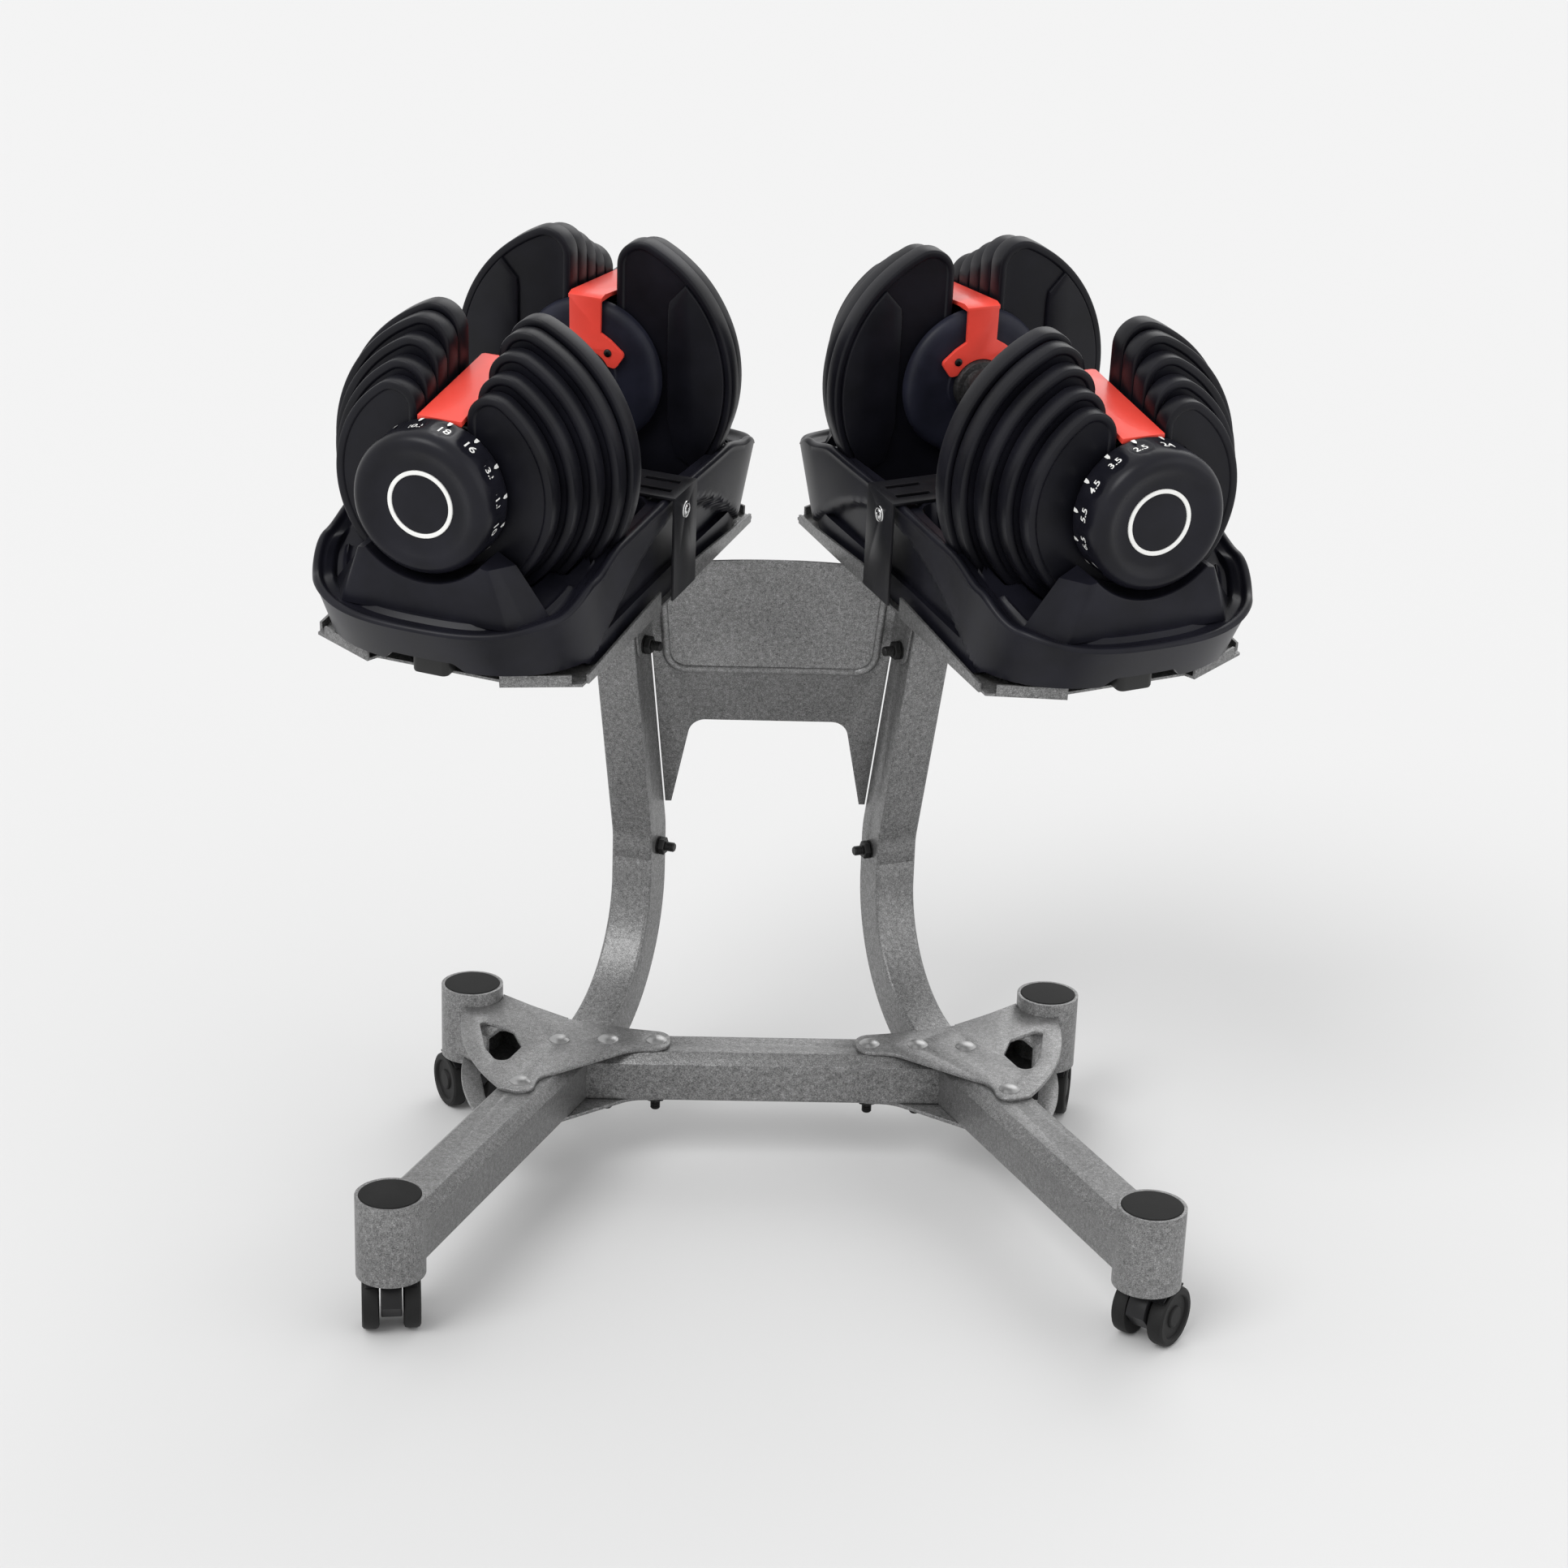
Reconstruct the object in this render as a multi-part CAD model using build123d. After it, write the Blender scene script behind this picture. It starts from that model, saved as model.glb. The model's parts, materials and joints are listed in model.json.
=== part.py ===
"""A pair of dial-adjustable dumbbells docked in cradles on a rolling steel stand.

World frame: millimetres, +Z up, the front of the stand faces -Y, the model is
mirror-symmetric about X = 0 apart from which plates are selected.
Each dumbbell, its cradle and its tray share one local frame: local X is across
the handle, local -Y is the near end, local Z is the direction of lift, and the
origin is the middle of the handle.
"""
from build123d import *
import math
import os

os.makedirs("parts", exist_ok=True)

# ---------------------------------------------------------------- stand
STAND_Y = -61.425          # wheelbase centre, so that the whole model is centred on Y = 0
SPLAY = 21.7             # outward yaw of front legs, columns and dumbbells, degrees
TRACK_FRONT = 273.0      # half distance between the front sleeves
TRACK_REAR = 239.5       # half distance between the rear sleeves
WHEELBASE = 374.0
SLEEVE_R = 25.4
SLEEVE_WALL = 2.6
SLEEVE_Z = (49.5, 111.5)
TUBE_W = 46.0            # crossbeam and legs
TUBE_H = 40.0
TUBE_TOP = 98.0
TUBE_WALL = 2.0
SHOULDER = 8.0           # bevel on the two top edges of the base tubes
BEAM_Y = 104.0           # crossbeam centre, ahead of it is -Y
GUSSET_T = 3.0
COLUMN = 35.0            # square column tube
COLUMN_WALL = 2.0
COLUMN_BEND_R = 118.0    # centre-line radius of the swept foot
COLUMN_JOINT_Z = 214.0
COLUMN_LEAN = 14.0       # forward lean of the upper columns, degrees
BOLT_R = 4.0
NUT_T = 6.5
PANEL_T = 2.0

# ---------------------------------------------------------------- casters
WHEEL_R = 23.0
WHEEL_W = 13.0
WHEEL_GAP = 17.0         # between the inner faces of the twin wheels
TRAIL = 11.0
STEM_R = 5.5
AXLE_R = 3.0
RUN_FIT = 0.08           # radial clearance of running fits
CASTER_TURN = {"fl": 6.0, "fr": -38.0, "rl": 28.0, "rr": -14.0}

# ---------------------------------------------------------------- dumbbells
DOCK = (178.4, 36.875, 619.9)   # middle of the left handle, mirrored for the right
TILT = 8.0               # forward tilt of the docks, degrees
AXIS_H = 134.0           # handle axis above the tray
GRIP_HALF = 76.0         # handle length is twice this
GRIP_R = 16.5
ROD_R = 10.0
FLANGE_R = 59.0
FLANGE_T = 10.0
PLATE_START = 88.0       # inner face of the innermost plate
PLATE_PITCH = 17.4
PLATE_GAP = 1.5
PLATE_RADII = (115.0, 111.0, 102.0, 92.5, 83.5)
PLATE_RIM = 13.0
WEB_RECESS = 3.0
SLOT_HALF = 19.0
HUB_R = 15.0
DISC_R = 33.0
DISC_T = 3.4
LIP_R = (28.6, 32.4)
LIP_T = 0.8
TAB_R = (21.0, 27.6)
DIAL_BACK = 178.0
DIAL_FACE = 213.0
DIAL_R = 52.5
BRIDGE_T = 3.0
LOCK_PIN_R = 3.0
LOCK_PIN_Y = 81.0

# ---------------------------------------------------------------- cradle
CRADLE_BASE = (201.0, 104.0)   # half length and half width at the bottom
CRADLE_FLARE = 24.0            # degrees the end walls lean out
RIM_HIGH = -48.0
RIM_LOW = -84.0
DECK_HALF = 27.0
STRAP_HALF = 22.0
STRAP_T = 2.0
STRAP_SIDE = 114.5
TRAY_T = 2.0
TRAY_HALF = (186.0, 105.0)
HOOK = ((52.0, 194.0), (98.0, 172.0))   # outer edge of one corner lip
HOOK_H = 7.0
SKIRT_LIFT = 9.5               # gap under the end skirts, over the corner lips


def solid_list(shape):
    """The separate solids of a shape, as a compound when there are several."""
    solids = shape.solids()
    return solids[0] if len(solids) == 1 else Compound(children=list(solids))


def save(shape, name):
    """Write one sub-part, already in the world frame."""
    shape.label = name
    export_step(shape, f"parts/{name}.step")


def mirrored(shape):
    """The same piece on the other side of the plane X = 0."""
    return mirror(shape, Plane.YZ)


def outward(end):
    """Turn a piece built along +Z so that it points out of one end, its +Y side up."""
    near = Rot(90, 0, 0)
    return near if end < 0 else Rot(0, 0, 180) * near


def in_stand(shape):
    """From the stand's wheelbase frame to the world frame."""
    return Pos(0, STAND_Y, 0) * shape


def dock(side):
    """Local dumbbell frame of the left (-1) or right (+1) dock."""
    return (Location((side * DOCK[0], DOCK[1], DOCK[2]))
            * Location((0, 0, 0), (TILT, 0, 0))
            * Location((0, 0, 0), (0, 0, side * SPLAY)))


def cyl_y(radius, y0, y1, x=0.0, z=0.0):
    """Cylinder along local Y between y0 and y1."""
    low, high = min(y0, y1), max(y0, y1)
    body = Cylinder(radius, high - low, align=(Align.CENTER, Align.CENTER, Align.MIN))
    return Pos(x, low, z) * Rot(-90, 0, 0) * body


def cyl_x(radius, x0, x1, y=0.0, z=0.0):
    """Cylinder along local X between x0 and x1."""
    low, high = min(x0, x1), max(x0, x1)
    body = Cylinder(radius, high - low, align=(Align.CENTER, Align.CENTER, Align.MIN))
    return Pos(low, y, z) * Rot(0, 90, 0) * body


def cyl_z(radius, z0, z1, x=0.0, y=0.0):
    """Cylinder along local Z between z0 and z1."""
    body = Cylinder(radius, z1 - z0, align=(Align.CENTER, Align.CENTER, Align.MIN))
    return Pos(x, y, z0) * body


def block(x0, x1, y0, y1, z0, z1):
    """Box between two corners."""
    return Pos((x0 + x1) / 2, (y0 + y1) / 2, (z0 + z1) / 2) * Box(x1 - x0, y1 - y0, z1 - z0)


# ================================================================= base frame
def base_section(inset):
    """Cross-section of the base tube, bevelled on top, drawn in X and Z."""
    half = TUBE_W / 2 - inset
    top = TUBE_TOP - inset
    low = TUBE_TOP - TUBE_H + inset
    bevel = SHOULDER - inset * 0.4
    points = [(-half, low), (half, low), (half, top - bevel), (half - bevel, top),
              (-half + bevel, top), (-half, top - bevel)]
    radii = [max(3.0 - inset, 0.6)] * 2 + [1.2] * 4
    return make_face(FilletPolyline(*points, radius=radii, close=True))


def base_tube(length):
    """Hollow base tube lying along +Y from the origin."""
    outer = extrude(Plane.XZ * base_section(0.0), -length)
    inner = extrude(Plane.XZ * base_section(TUBE_WALL), -length)
    return outer - inner


def sleeve_socket():
    """Upright caster sleeve with its inner stem socket, centred on Z."""
    low, high = SLEEVE_Z
    sleeve = cyl_z(SLEEVE_R, low, high) - cyl_z(SLEEVE_R - SLEEVE_WALL, low, high)
    plug = cyl_z(SLEEVE_R - SLEEVE_WALL, low + 2, low + 40)
    plug -= cyl_z(STEM_R + RUN_FIT, low, low + 42)
    return sleeve + plug


def front_leg():
    """Left front leg: a tube splayed outward, coped and welded to its sleeve."""
    sleeve_at = Pos(-TRACK_FRONT, -WHEELBASE / 2, 0)
    tube = sleeve_at * Rot(0, 0, -SPLAY) * base_tube(380)
    back_plane = BEAM_Y + TUBE_W / 2
    tube -= block(-400, 400, back_plane, back_plane + 300, 0, 200)
    tube -= sleeve_at * cyl_z(SLEEVE_R - 1.0, 0, 200)
    return tube + sleeve_at * sleeve_socket()


def rear_leg():
    """Left rear leg: a short tube from the rear sleeve to the back of the joint."""
    sleeve = (-TRACK_REAR, WHEELBASE / 2)
    foot = (-196.0, BEAM_Y + TUBE_W / 2)
    turn = math.degrees(math.atan2(foot[0] - sleeve[0], sleeve[1] - foot[1]))
    sleeve_at = Pos(sleeve[0], sleeve[1], 0)
    tube = sleeve_at * Rot(0, 0, 180 + turn) * base_tube(140)
    tube -= block(-400, 400, -300, foot[1], 0, 200)
    tube -= sleeve_at * cyl_z(SLEEVE_R - 1.0, 0, 200)
    return tube + sleeve_at * sleeve_socket()


def crossbeam():
    """Beam between the two front legs, mitred to their inner sides."""
    beam = Pos(-260, BEAM_Y, 0) * Rot(0, 0, -90) * base_tube(520)
    for side in (-1, 1):
        leg = (Pos(side * TRACK_FRONT, -WHEELBASE / 2, 0) * Rot(0, 0, side * SPLAY)
               * block(-TUBE_W / 2 if side < 0 else -300, 300 if side > 0 else TUBE_W / 2,
                       0, 420, 0, 200))
        outside = (Pos(side * TRACK_FRONT, -WHEELBASE / 2, 0) * Rot(0, 0, side * SPLAY)
                   * block(-400 if side < 0 else -TUBE_W / 2, TUBE_W / 2 if side < 0 else 400,
                           0, 420, 0, 200))
        beam -= outside if side else leg
    return beam


GUSSET_BOLTS = ((-86.0, 104.0), (-125.0, 104.0), (-164.0, 102.0), (-191.5, 24.0))


def gusset_face():
    """Outline of the left three-armed joint plate, without its window."""
    tip = FilletPolyline((-245.0, 158.0), (-262.0, 200.0), (-216.0, 192.0), (-189.0, 168.0),
                         (-160.0, 145.5), (-108.0, 126.0), (-75.0, 119.5), (-75.0, 88.0),
                         (-105.0, 87.0), (-178.0, 32.0), (-182.0, 2.0), (-206.0, 12.0),
                         radius=[1, 1, 6, 6, 30, 13, 13, 30, 20, 11])
    edge = ThreePointArc((-206.0, 12.0), (-233.0, 68.0), (-245.0, 158.0))
    return make_face([*tip.edges(), *edge.edges()])


def gusset(z_low):
    """Left joint plate with its window and bolt holes, hugging the rear sleeve."""
    window = FilletPolyline((-231.5, 141.0), (-202.0, 117.0), (-193.5, 88.0), (-208.0, 50.0),
                            (-222.5, 84.0), radius=[5, 7, 7, 7, 30], close=True)
    face = gusset_face() - make_face(window)
    plate = Pos(0, 0, z_low) * extrude(face, GUSSET_T)
    plate -= cyl_z(SLEEVE_R + 0.3, 0, 200, -TRACK_REAR, WHEELBASE / 2)
    for x, y in GUSSET_BOLTS:
        plate -= cyl_z(BOLT_R, z_low - 1, z_low + GUSSET_T + 1, x, y)
    notch = column_frame() * block(-COLUMN / 2 - 0.3, COLUMN / 2 + 0.3, -1.0, 80, 80, 120)
    return plate - notch


# ================================================================= columns
def column_frame():
    """Frame of the left column: local -Y is forward along the splay, Z up."""
    return Pos(-142.2, 137.5, 0) * Rot(0, 0, -SPLAY)


COLUMN_BACK = 103.5      # centre line of the upright part behind the gusset edge
LEAN_START = 14.0        # straight length between the joint and the bend
LEAN_R = 60.0


def column_lower():
    """Swept foot of the left column, from the beam's back face to the sleeve joint."""
    centre_y = COLUMN_BACK - COLUMN_BEND_R
    low_z = TUBE_TOP - COLUMN / 2 - 1.3
    start = Plane(origin=(0, centre_y, low_z), z_dir=(0, 1, 0), x_dir=(1, 0, 0))
    bend = Plane.YZ * CenterArc((centre_y, low_z + COLUMN_BEND_R), COLUMN_BEND_R, -90, 90)
    tubes = []
    for width, radius, top in ((COLUMN, 3.0, COLUMN_JOINT_Z),
                               (COLUMN - 2 * COLUMN_WALL, 1.0, COLUMN_JOINT_Z - 16.0)):
        if top > low_z + COLUMN_BEND_R:
            rise = Polyline((0, COLUMN_BACK, low_z + COLUMN_BEND_R), (0, COLUMN_BACK, top))
            spine = Wire([*bend.edges(), *rise.edges()])
        else:
            spine = bend
        tubes.append(sweep(start * RectangleRounded(width, width, radius), path=spine))
    outer, inner = tubes
    spigot = COLUMN / 2 - COLUMN_WALL - 0.3
    outer += block(-spigot, spigot, COLUMN_BACK - spigot, COLUMN_BACK + spigot,
                   COLUMN_JOINT_Z - 6, COLUMN_JOINT_Z + 18)
    tube = outer - inner
    tube -= block(-spigot + 2, spigot - 2, COLUMN_BACK - spigot + 2, COLUMN_BACK + spigot - 2,
                  low_z + COLUMN_BEND_R - 14, COLUMN_JOINT_Z + 30)
    tube = column_frame() * tube
    return tube - block(-400, 0, -300, BEAM_Y + TUBE_W / 2 + 0.2, 0, 400)


def column_upper():
    """Upper left column: a short upright length, a slight bend and the leaning tube."""
    lean = math.radians(COLUMN_LEAN)
    bend_z = COLUMN_JOINT_Z + LEAN_START
    top_z = 530.0
    bend_end = (COLUMN_BACK - LEAN_R * (1 - math.cos(lean)), bend_z + LEAN_R * math.sin(lean))
    run = (top_z - bend_end[1]) / math.cos(lean)
    top = (bend_end[0] - run * math.sin(lean), top_z)
    upright = Polyline((0, COLUMN_BACK, COLUMN_JOINT_Z), (0, COLUMN_BACK, bend_z))
    bend = Plane.YZ * CenterArc((COLUMN_BACK - LEAN_R, bend_z), LEAN_R, 0, COLUMN_LEAN)
    leaning = Polyline((0, *bend_end), (0, *top))
    spine = Wire([*upright.edges(), *bend.edges(), *leaning.edges()])
    start = Plane(origin=(0, COLUMN_BACK, COLUMN_JOINT_Z), z_dir=(0, 0, 1), x_dir=(1, 0, 0))
    outer = sweep(start * RectangleRounded(COLUMN, COLUMN, 3.0), path=spine)
    inner = sweep(start * RectangleRounded(COLUMN - 2 * COLUMN_WALL, COLUMN - 2 * COLUMN_WALL, 1.0),
                  path=spine)
    tube = in_stand(column_frame() * (outer - inner))
    above = dock(-1) * block(-300, 300, -400, 400, -AXIS_H - TRAY_T, 100)
    return tube - above


def column_point(forward, height, across=0.0):
    """World point in the left column's frame: forward of the gusset edge, height, sideways."""
    return in_stand(column_frame() * Vertex(across, -forward, height))


def column_hole(height):
    """Place of a bolt through the left column, as (frame, distance back)."""
    if height <= COLUMN_JOINT_Z + LEAN_START:
        return COLUMN_BACK
    return COLUMN_BACK - (height - COLUMN_JOINT_Z - LEAN_START - 6) * math.tan(
        math.radians(COLUMN_LEAN))


COLUMN_BOLTS = (222.0, 409.0)


# ================================================================= back panel
def panel_edge(height):
    """Half width and Y, in the stand frame, of the columns' inner back edges."""
    rise = max(height - 233.0, 0.0)
    back = COLUMN_BACK + COLUMN / 2 - rise * math.tan(math.radians(COLUMN_LEAN))
    splay = math.radians(SPLAY)
    x = -142.2 + COLUMN / 2 * math.cos(splay) + back * math.sin(splay)
    y = 137.5 - COLUMN / 2 * math.sin(splay) + back * math.cos(splay)
    return -x, y


def back_panel():
    """Sheet between the columns: arched top, U-shaped stiffening bead, cut-out below."""
    low_z, high_z = 258.0, 474.0
    low_x, low_y = panel_edge(low_z)
    high_x, high_y = panel_edge(high_z)
    slope = math.atan2(low_y - high_y, high_z - low_z)
    length = math.hypot(high_z - low_z, low_y - high_y)
    # drawn flat: X across, Y up the sheet from its lower end
    half = (low_x - 0.6, high_x - 0.6)
    left = Polyline((-half[1], length), (-half[0], 0), (-half[0] + 5, 0))
    top = ThreePointArc((-half[1], length), (0, length + 7), (half[1], length))
    right = Polyline((half[1], length), (half[0], 0), (half[0] - 5, 0))
    cut_h = 80.0
    flare = FilletPolyline((-half[0] + 5, 0), (-63.0, cut_h), (63.0, cut_h), (half[0] - 5, 0),
                           radius=[14, 14])
    face = make_face([*left.edges(), *top.edges(), *right.edges(), *flare.edges()])
    sheet = extrude(face, PANEL_T)
    bead_y = 128.0
    bead_x = half[0] + (half[1] - half[0]) * 0.72 - 14.0
    run = FilletPolyline((-bead_x - 6, length - 10), (-bead_x, bead_y), (bead_x, bead_y),
                         (bead_x + 6, length - 10), radius=[17, 17])
    start = Plane(origin=(-bead_x - 6, length - 10, PANEL_T), z_dir=run % 0, x_dir=(0, 0, 1))
    bead = sweep(start * Circle(3.2), path=run)
    bead -= block(-200, 200, -50, 400, -20, PANEL_T - 0.5)
    sheet += bead
    sheet = Pos(0, low_y + PANEL_T, low_z) * Rot(90 + math.degrees(slope), 0, 0) * sheet
    for side in (-1, 1):
        tab = panel_tab()
        sheet += tab if side < 0 else mirrored(tab)
    return sheet


def panel_tab():
    """Left side tab of the panel, lying on the column's inner face around the bolt."""
    height = COLUMN_BOLTS[1]
    lean = -math.degrees(math.atan(math.tan(math.radians(COLUMN_LEAN))))
    centre = column_hole(height)
    outline = FilletPolyline((-12.5, -10.0), (18.6, -10.0), (18.6, 66.0), (-12.5, 66.0),
                             radius=[10, 0.4, 0.4, 3], close=True)
    flat = Plane.YZ * make_face(outline)
    tab = Pos(COLUMN / 2 + 0.15, centre, height) * Rot(-lean, 0, 0) * extrude(flat, PANEL_T)
    tab -= cyl_x(BOLT_R, 0, 60, centre, height)
    return column_frame() * tab


# ================================================================= fasteners
def hex_nut(across_flats=13.0):
    """Hexagon nut standing on the XY plane, bored for its bolt."""
    nut = extrude(RegularPolygon(across_flats / 2, 6, major_radius=False), NUT_T)
    return nut - cyl_z(BOLT_R, -1, NUT_T + 1)


def dome_bolt(grip):
    """Carriage bolt hanging down from the XY plane, with a low domed head above it."""
    shank = cyl_z(BOLT_R, -grip - NUT_T - 8.0, 0)
    head = Pos(0, 0, -10.2) * Sphere(13.4) & block(-20, 20, -20, 20, 0, 10)
    return shank + head


def frame_fasteners():
    """Every carriage bolt of the frame with its nut, as separate solids."""
    pieces = []
    stack = TUBE_H + 2 * GUSSET_T
    for x, y in GUSSET_BOLTS:
        top = TUBE_TOP + GUSSET_T
        pieces.append(Pos(x, y, top) * dome_bolt(stack))
        pieces.append(Pos(x, y, top - stack - NUT_T) * hex_nut())
    for height in COLUMN_BOLTS:
        back = column_hole(height)
        extra = PANEL_T + 0.15 if height > 300 else 0.0
        across = column_frame() * Pos(-COLUMN / 2, back, height) * Rot(0, -90, 0)
        pieces.append(across * dome_bolt(COLUMN + extra))
        pieces.append(across * Pos(0, 0, -COLUMN - extra - NUT_T) * hex_nut())
    left = [in_stand(piece) for piece in pieces]
    return left + [mirrored(piece) for piece in left]


# ================================================================= casters
def caster_housing():
    """Hooded caster body with its stem, trailing toward +Y, stem on the Z axis."""
    web = block(-WHEEL_GAP / 2 + 0.6, WHEEL_GAP / 2 - 0.6, -12.0, TRAIL + 10.0, 8.0, 46.0)
    hood_r = WHEEL_R + 2.6
    web &= cyl_x(hood_r, -30, 30, TRAIL, WHEEL_R)
    hood = cyl_x(hood_r, -17.0, 17.0, TRAIL, WHEEL_R) - cyl_x(WHEEL_R + 1.2, -20, 20, TRAIL, WHEEL_R)
    keep_front = block(-20, 20, TRAIL - 40, TRAIL + 1, 7.0, 60)
    keep_top = block(-20, 20, TRAIL - 1, TRAIL + 16, WHEEL_R, 60)
    hood &= keep_front + keep_top
    collar = cyl_z(10.0, 40.0, SLEEVE_Z[0] - 0.5)
    collar -= cyl_x(WHEEL_R + 1.2, -20, -WHEEL_GAP / 2, TRAIL, WHEEL_R)
    collar -= cyl_x(WHEEL_R + 1.2, WHEEL_GAP / 2, 20, TRAIL, WHEEL_R)
    body = web + hood + collar
    body -= cyl_x(AXLE_R + RUN_FIT, -30, 30, TRAIL, WHEEL_R)
    return body + cyl_z(STEM_R, 44.0, SLEEVE_Z[0] + 36)


def caster_wheels():
    """Twin wheels and their axle, as three solids pressed together."""
    pieces = [cyl_x(AXLE_R, -WHEEL_GAP / 2 - WHEEL_W + 3, WHEEL_GAP / 2 + WHEEL_W - 3,
                    TRAIL, WHEEL_R)]
    for side in (-1, 1):
        inner = side * WHEEL_GAP / 2
        outer = side * (WHEEL_GAP / 2 + WHEEL_W)
        wheel = cyl_x(WHEEL_R, inner, outer, TRAIL, WHEEL_R)
        rim = wheel.edges().filter_by(GeomType.CIRCLE)
        wheel = fillet(rim, 2.5)
        wheel -= cyl_x(WHEEL_R - 6, outer - side * 2.0, outer + side * 5, TRAIL, WHEEL_R)
        wheel += cyl_x(7.5, outer - side * 3.0, outer - side * 0.6, TRAIL, WHEEL_R)
        wheel -= cyl_x(AXLE_R, inner - side, outer - side * 3.0, TRAIL, WHEEL_R)
        pieces.append(wheel)
    return pieces


CASTERS = {
    "fl": (-TRACK_FRONT, -WHEELBASE / 2),
    "fr": (TRACK_FRONT, -WHEELBASE / 2),
    "rl": (-TRACK_REAR, WHEELBASE / 2),
    "rr": (TRACK_REAR, WHEELBASE / 2),
}


def sleeve_cap():
    """Plastic plug in the top of a sleeve, almost flush, centred on Z."""
    top = SLEEVE_Z[1] + 0.6
    cap = cyl_z(SLEEVE_R - SLEEVE_WALL, top - 12, top)
    return fillet(cap.edges().sort_by(Axis.Z)[-1], 1.2)


# ================================================================= tray
def tray():
    """Sheet tray under one cradle: corner lips, tapering side flanges with a strap gap."""
    half_y, half_x = TRAY_HALF
    top = -AXIS_H
    (near_x, near_y), (far_x, far_y) = HOOK
    slope = (near_y - far_y) / (far_x - near_x)
    quarter = [(half_x, far_y - slope * (half_x - far_x)), (far_x, far_y), (near_x, near_y),
               (near_x - 4.0, half_y)]
    outline = quarter + [(-x, y) for x, y in reversed(quarter)]
    outline += [(-x, -y) for x, y in quarter] + [(x, -y) for x, y in reversed(quarter)]
    sheet = Pos(0, 0, top - TRAY_T) * extrude(make_face(Polyline(*outline, close=True)), TRAY_T)
    size = math.hypot(far_x - near_x, near_y - far_y)
    in_x, in_y = TRAY_T * (near_y - far_y) / size, TRAY_T * (far_x - near_x) / size
    lip = [(near_x, near_y), (far_x, far_y), (far_x - in_x, far_y - in_y),
           (near_x - in_x, near_y - in_y)]
    for flip_x in (-1, 1):
        for flip_y in (-1, 1):
            corner = Polyline(*[(flip_x * x, flip_y * y) for x, y in lip], close=True)
            rise = extrude(make_face(corner), TRAY_T + HOOK_H, dir=(0, 0, 1))
            sheet += Pos(0, 0, top - TRAY_T) * rise
    for side in (-1, 1):
        for end in (-1, 1):
            near, far = end * 27.0, end * 162.0
            outline = Polyline((near, top - TRAY_T), (near, top + 14.0), (far, top + 5.0),
                               (far, top - TRAY_T), close=True)
            flange = extrude(Plane.YZ * make_face(outline), side * TRAY_T)
            sheet += Pos(side * half_x, 0, 0) * flange
    return sheet


# ================================================================= cradle
def boat(half_y, half_x, z):
    """Closed boat-shaped outline in a horizontal plane: straight sides, elliptic ends."""
    straight = half_y * 0.56
    mid_y = straight + (half_y - straight) * 0.76
    mid_x = half_x * 0.76
    parts = [
        Line((half_x, -straight), (half_x, straight)),
        Spline([(half_x, straight), (mid_x, mid_y), (0, half_y)],
               tangents=[(0, 1), (-1, 0)]),
        Spline([(0, half_y), (-mid_x, mid_y), (-half_x, straight)],
               tangents=[(-1, 0), (0, -1)]),
        Line((-half_x, straight), (-half_x, -straight)),
        Spline([(-half_x, -straight), (-mid_x, -mid_y), (0, -half_y)],
               tangents=[(0, -1), (1, 0)]),
        Spline([(0, -half_y), (mid_x, -mid_y), (half_x, -straight)],
               tangents=[(1, 0), (0, 1)]),
    ]
    return Pos(0, 0, z) * make_face(parts)


def rim_cutter():
    """Everything above the rim line: high by the strap, dropping in an S to both ends."""
    profile = [(0, RIM_HIGH), (105, RIM_HIGH - 2), (150, RIM_HIGH - 12), (192, RIM_LOW + 8),
               (232, RIM_LOW)]
    right = Spline([(y, z) for y, z in profile], tangents=[(1, 0), (1, 0)])
    left = Spline([(-y, z) for y, z in reversed(profile)], tangents=[(1, 0), (1, 0)])
    closing = Polyline((232, RIM_LOW), (300, RIM_LOW), (300, 60), (-300, 60), (-300, RIM_LOW),
                       (-232, RIM_LOW))
    face = make_face([*right.edges(), *left.edges(), *closing.edges()])
    return Pos(-150, 0, 0) * extrude(Plane.YZ * face, 300)


def plate_span(index):
    """Distance of plate number index (0 is innermost) from the middle of the handle."""
    start = PLATE_START + index * PLATE_PITCH
    return start, start + PLATE_PITCH - PLATE_GAP


def cradle():
    """Moulded dock: boat-shaped body, stepped nests for the plates, pockets for the dials."""
    low = -AXIS_H + 0.2
    half_y, half_x = CRADLE_BASE
    flare = math.tan(math.radians(CRADLE_FLARE)) * (RIM_HIGH - low)
    body = loft([boat(half_y, half_x, low).face(),
                 boat(half_y + flare + 14, half_x + 5.0, RIM_HIGH + 1).face()])
    body -= rim_cutter()
    for end in (-1, 1):
        for index, radius in enumerate(PLATE_RADII):
            start, stop = plate_span(index)
            start = start - 3.0 if index == 0 else start - 0.8
            body -= cyl_y(radius + 1.2, end * start, end * (stop + 0.8))
        body -= cyl_y(FLANGE_R + 4, end * (DECK_HALF + 8), end * PLATE_START)
        body -= cyl_y(DIAL_R + 8, end * (DIAL_BACK - 3.0), end * 260)
    body -= block(-96, 96, -DECK_HALF - 50, -DECK_HALF, -100, 0)
    body -= block(-96, 96, DECK_HALF, DECK_HALF + 50, -100, 0)
    under = extrude(boat(half_y - 9, half_x - 9, low - 1).face(), 9.0)
    body -= under
    for end in (-1, 1):
        y0, y1 = sorted((end * (half_y - 30), end * (half_y + 40)))
        body -= block(-32, 32, y0, y1, low - 1, low + 18)
        y0, y1 = sorted((end * 150.0, end * (half_y + 40)))
        body -= block(-120, 120, y0, y1, low - 1, low + SKIRT_LIFT)
        y0, y1 = sorted((end * 174.0, end * 190.0))
        body += block(-17, 17, y0, y1, low, low + 18.5)
        body -= cyl_x(2.5, end * (STRAP_SIDE - 12), end * (STRAP_SIDE + 8), 0, STRAP_SCREW_Z)
    return body


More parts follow.
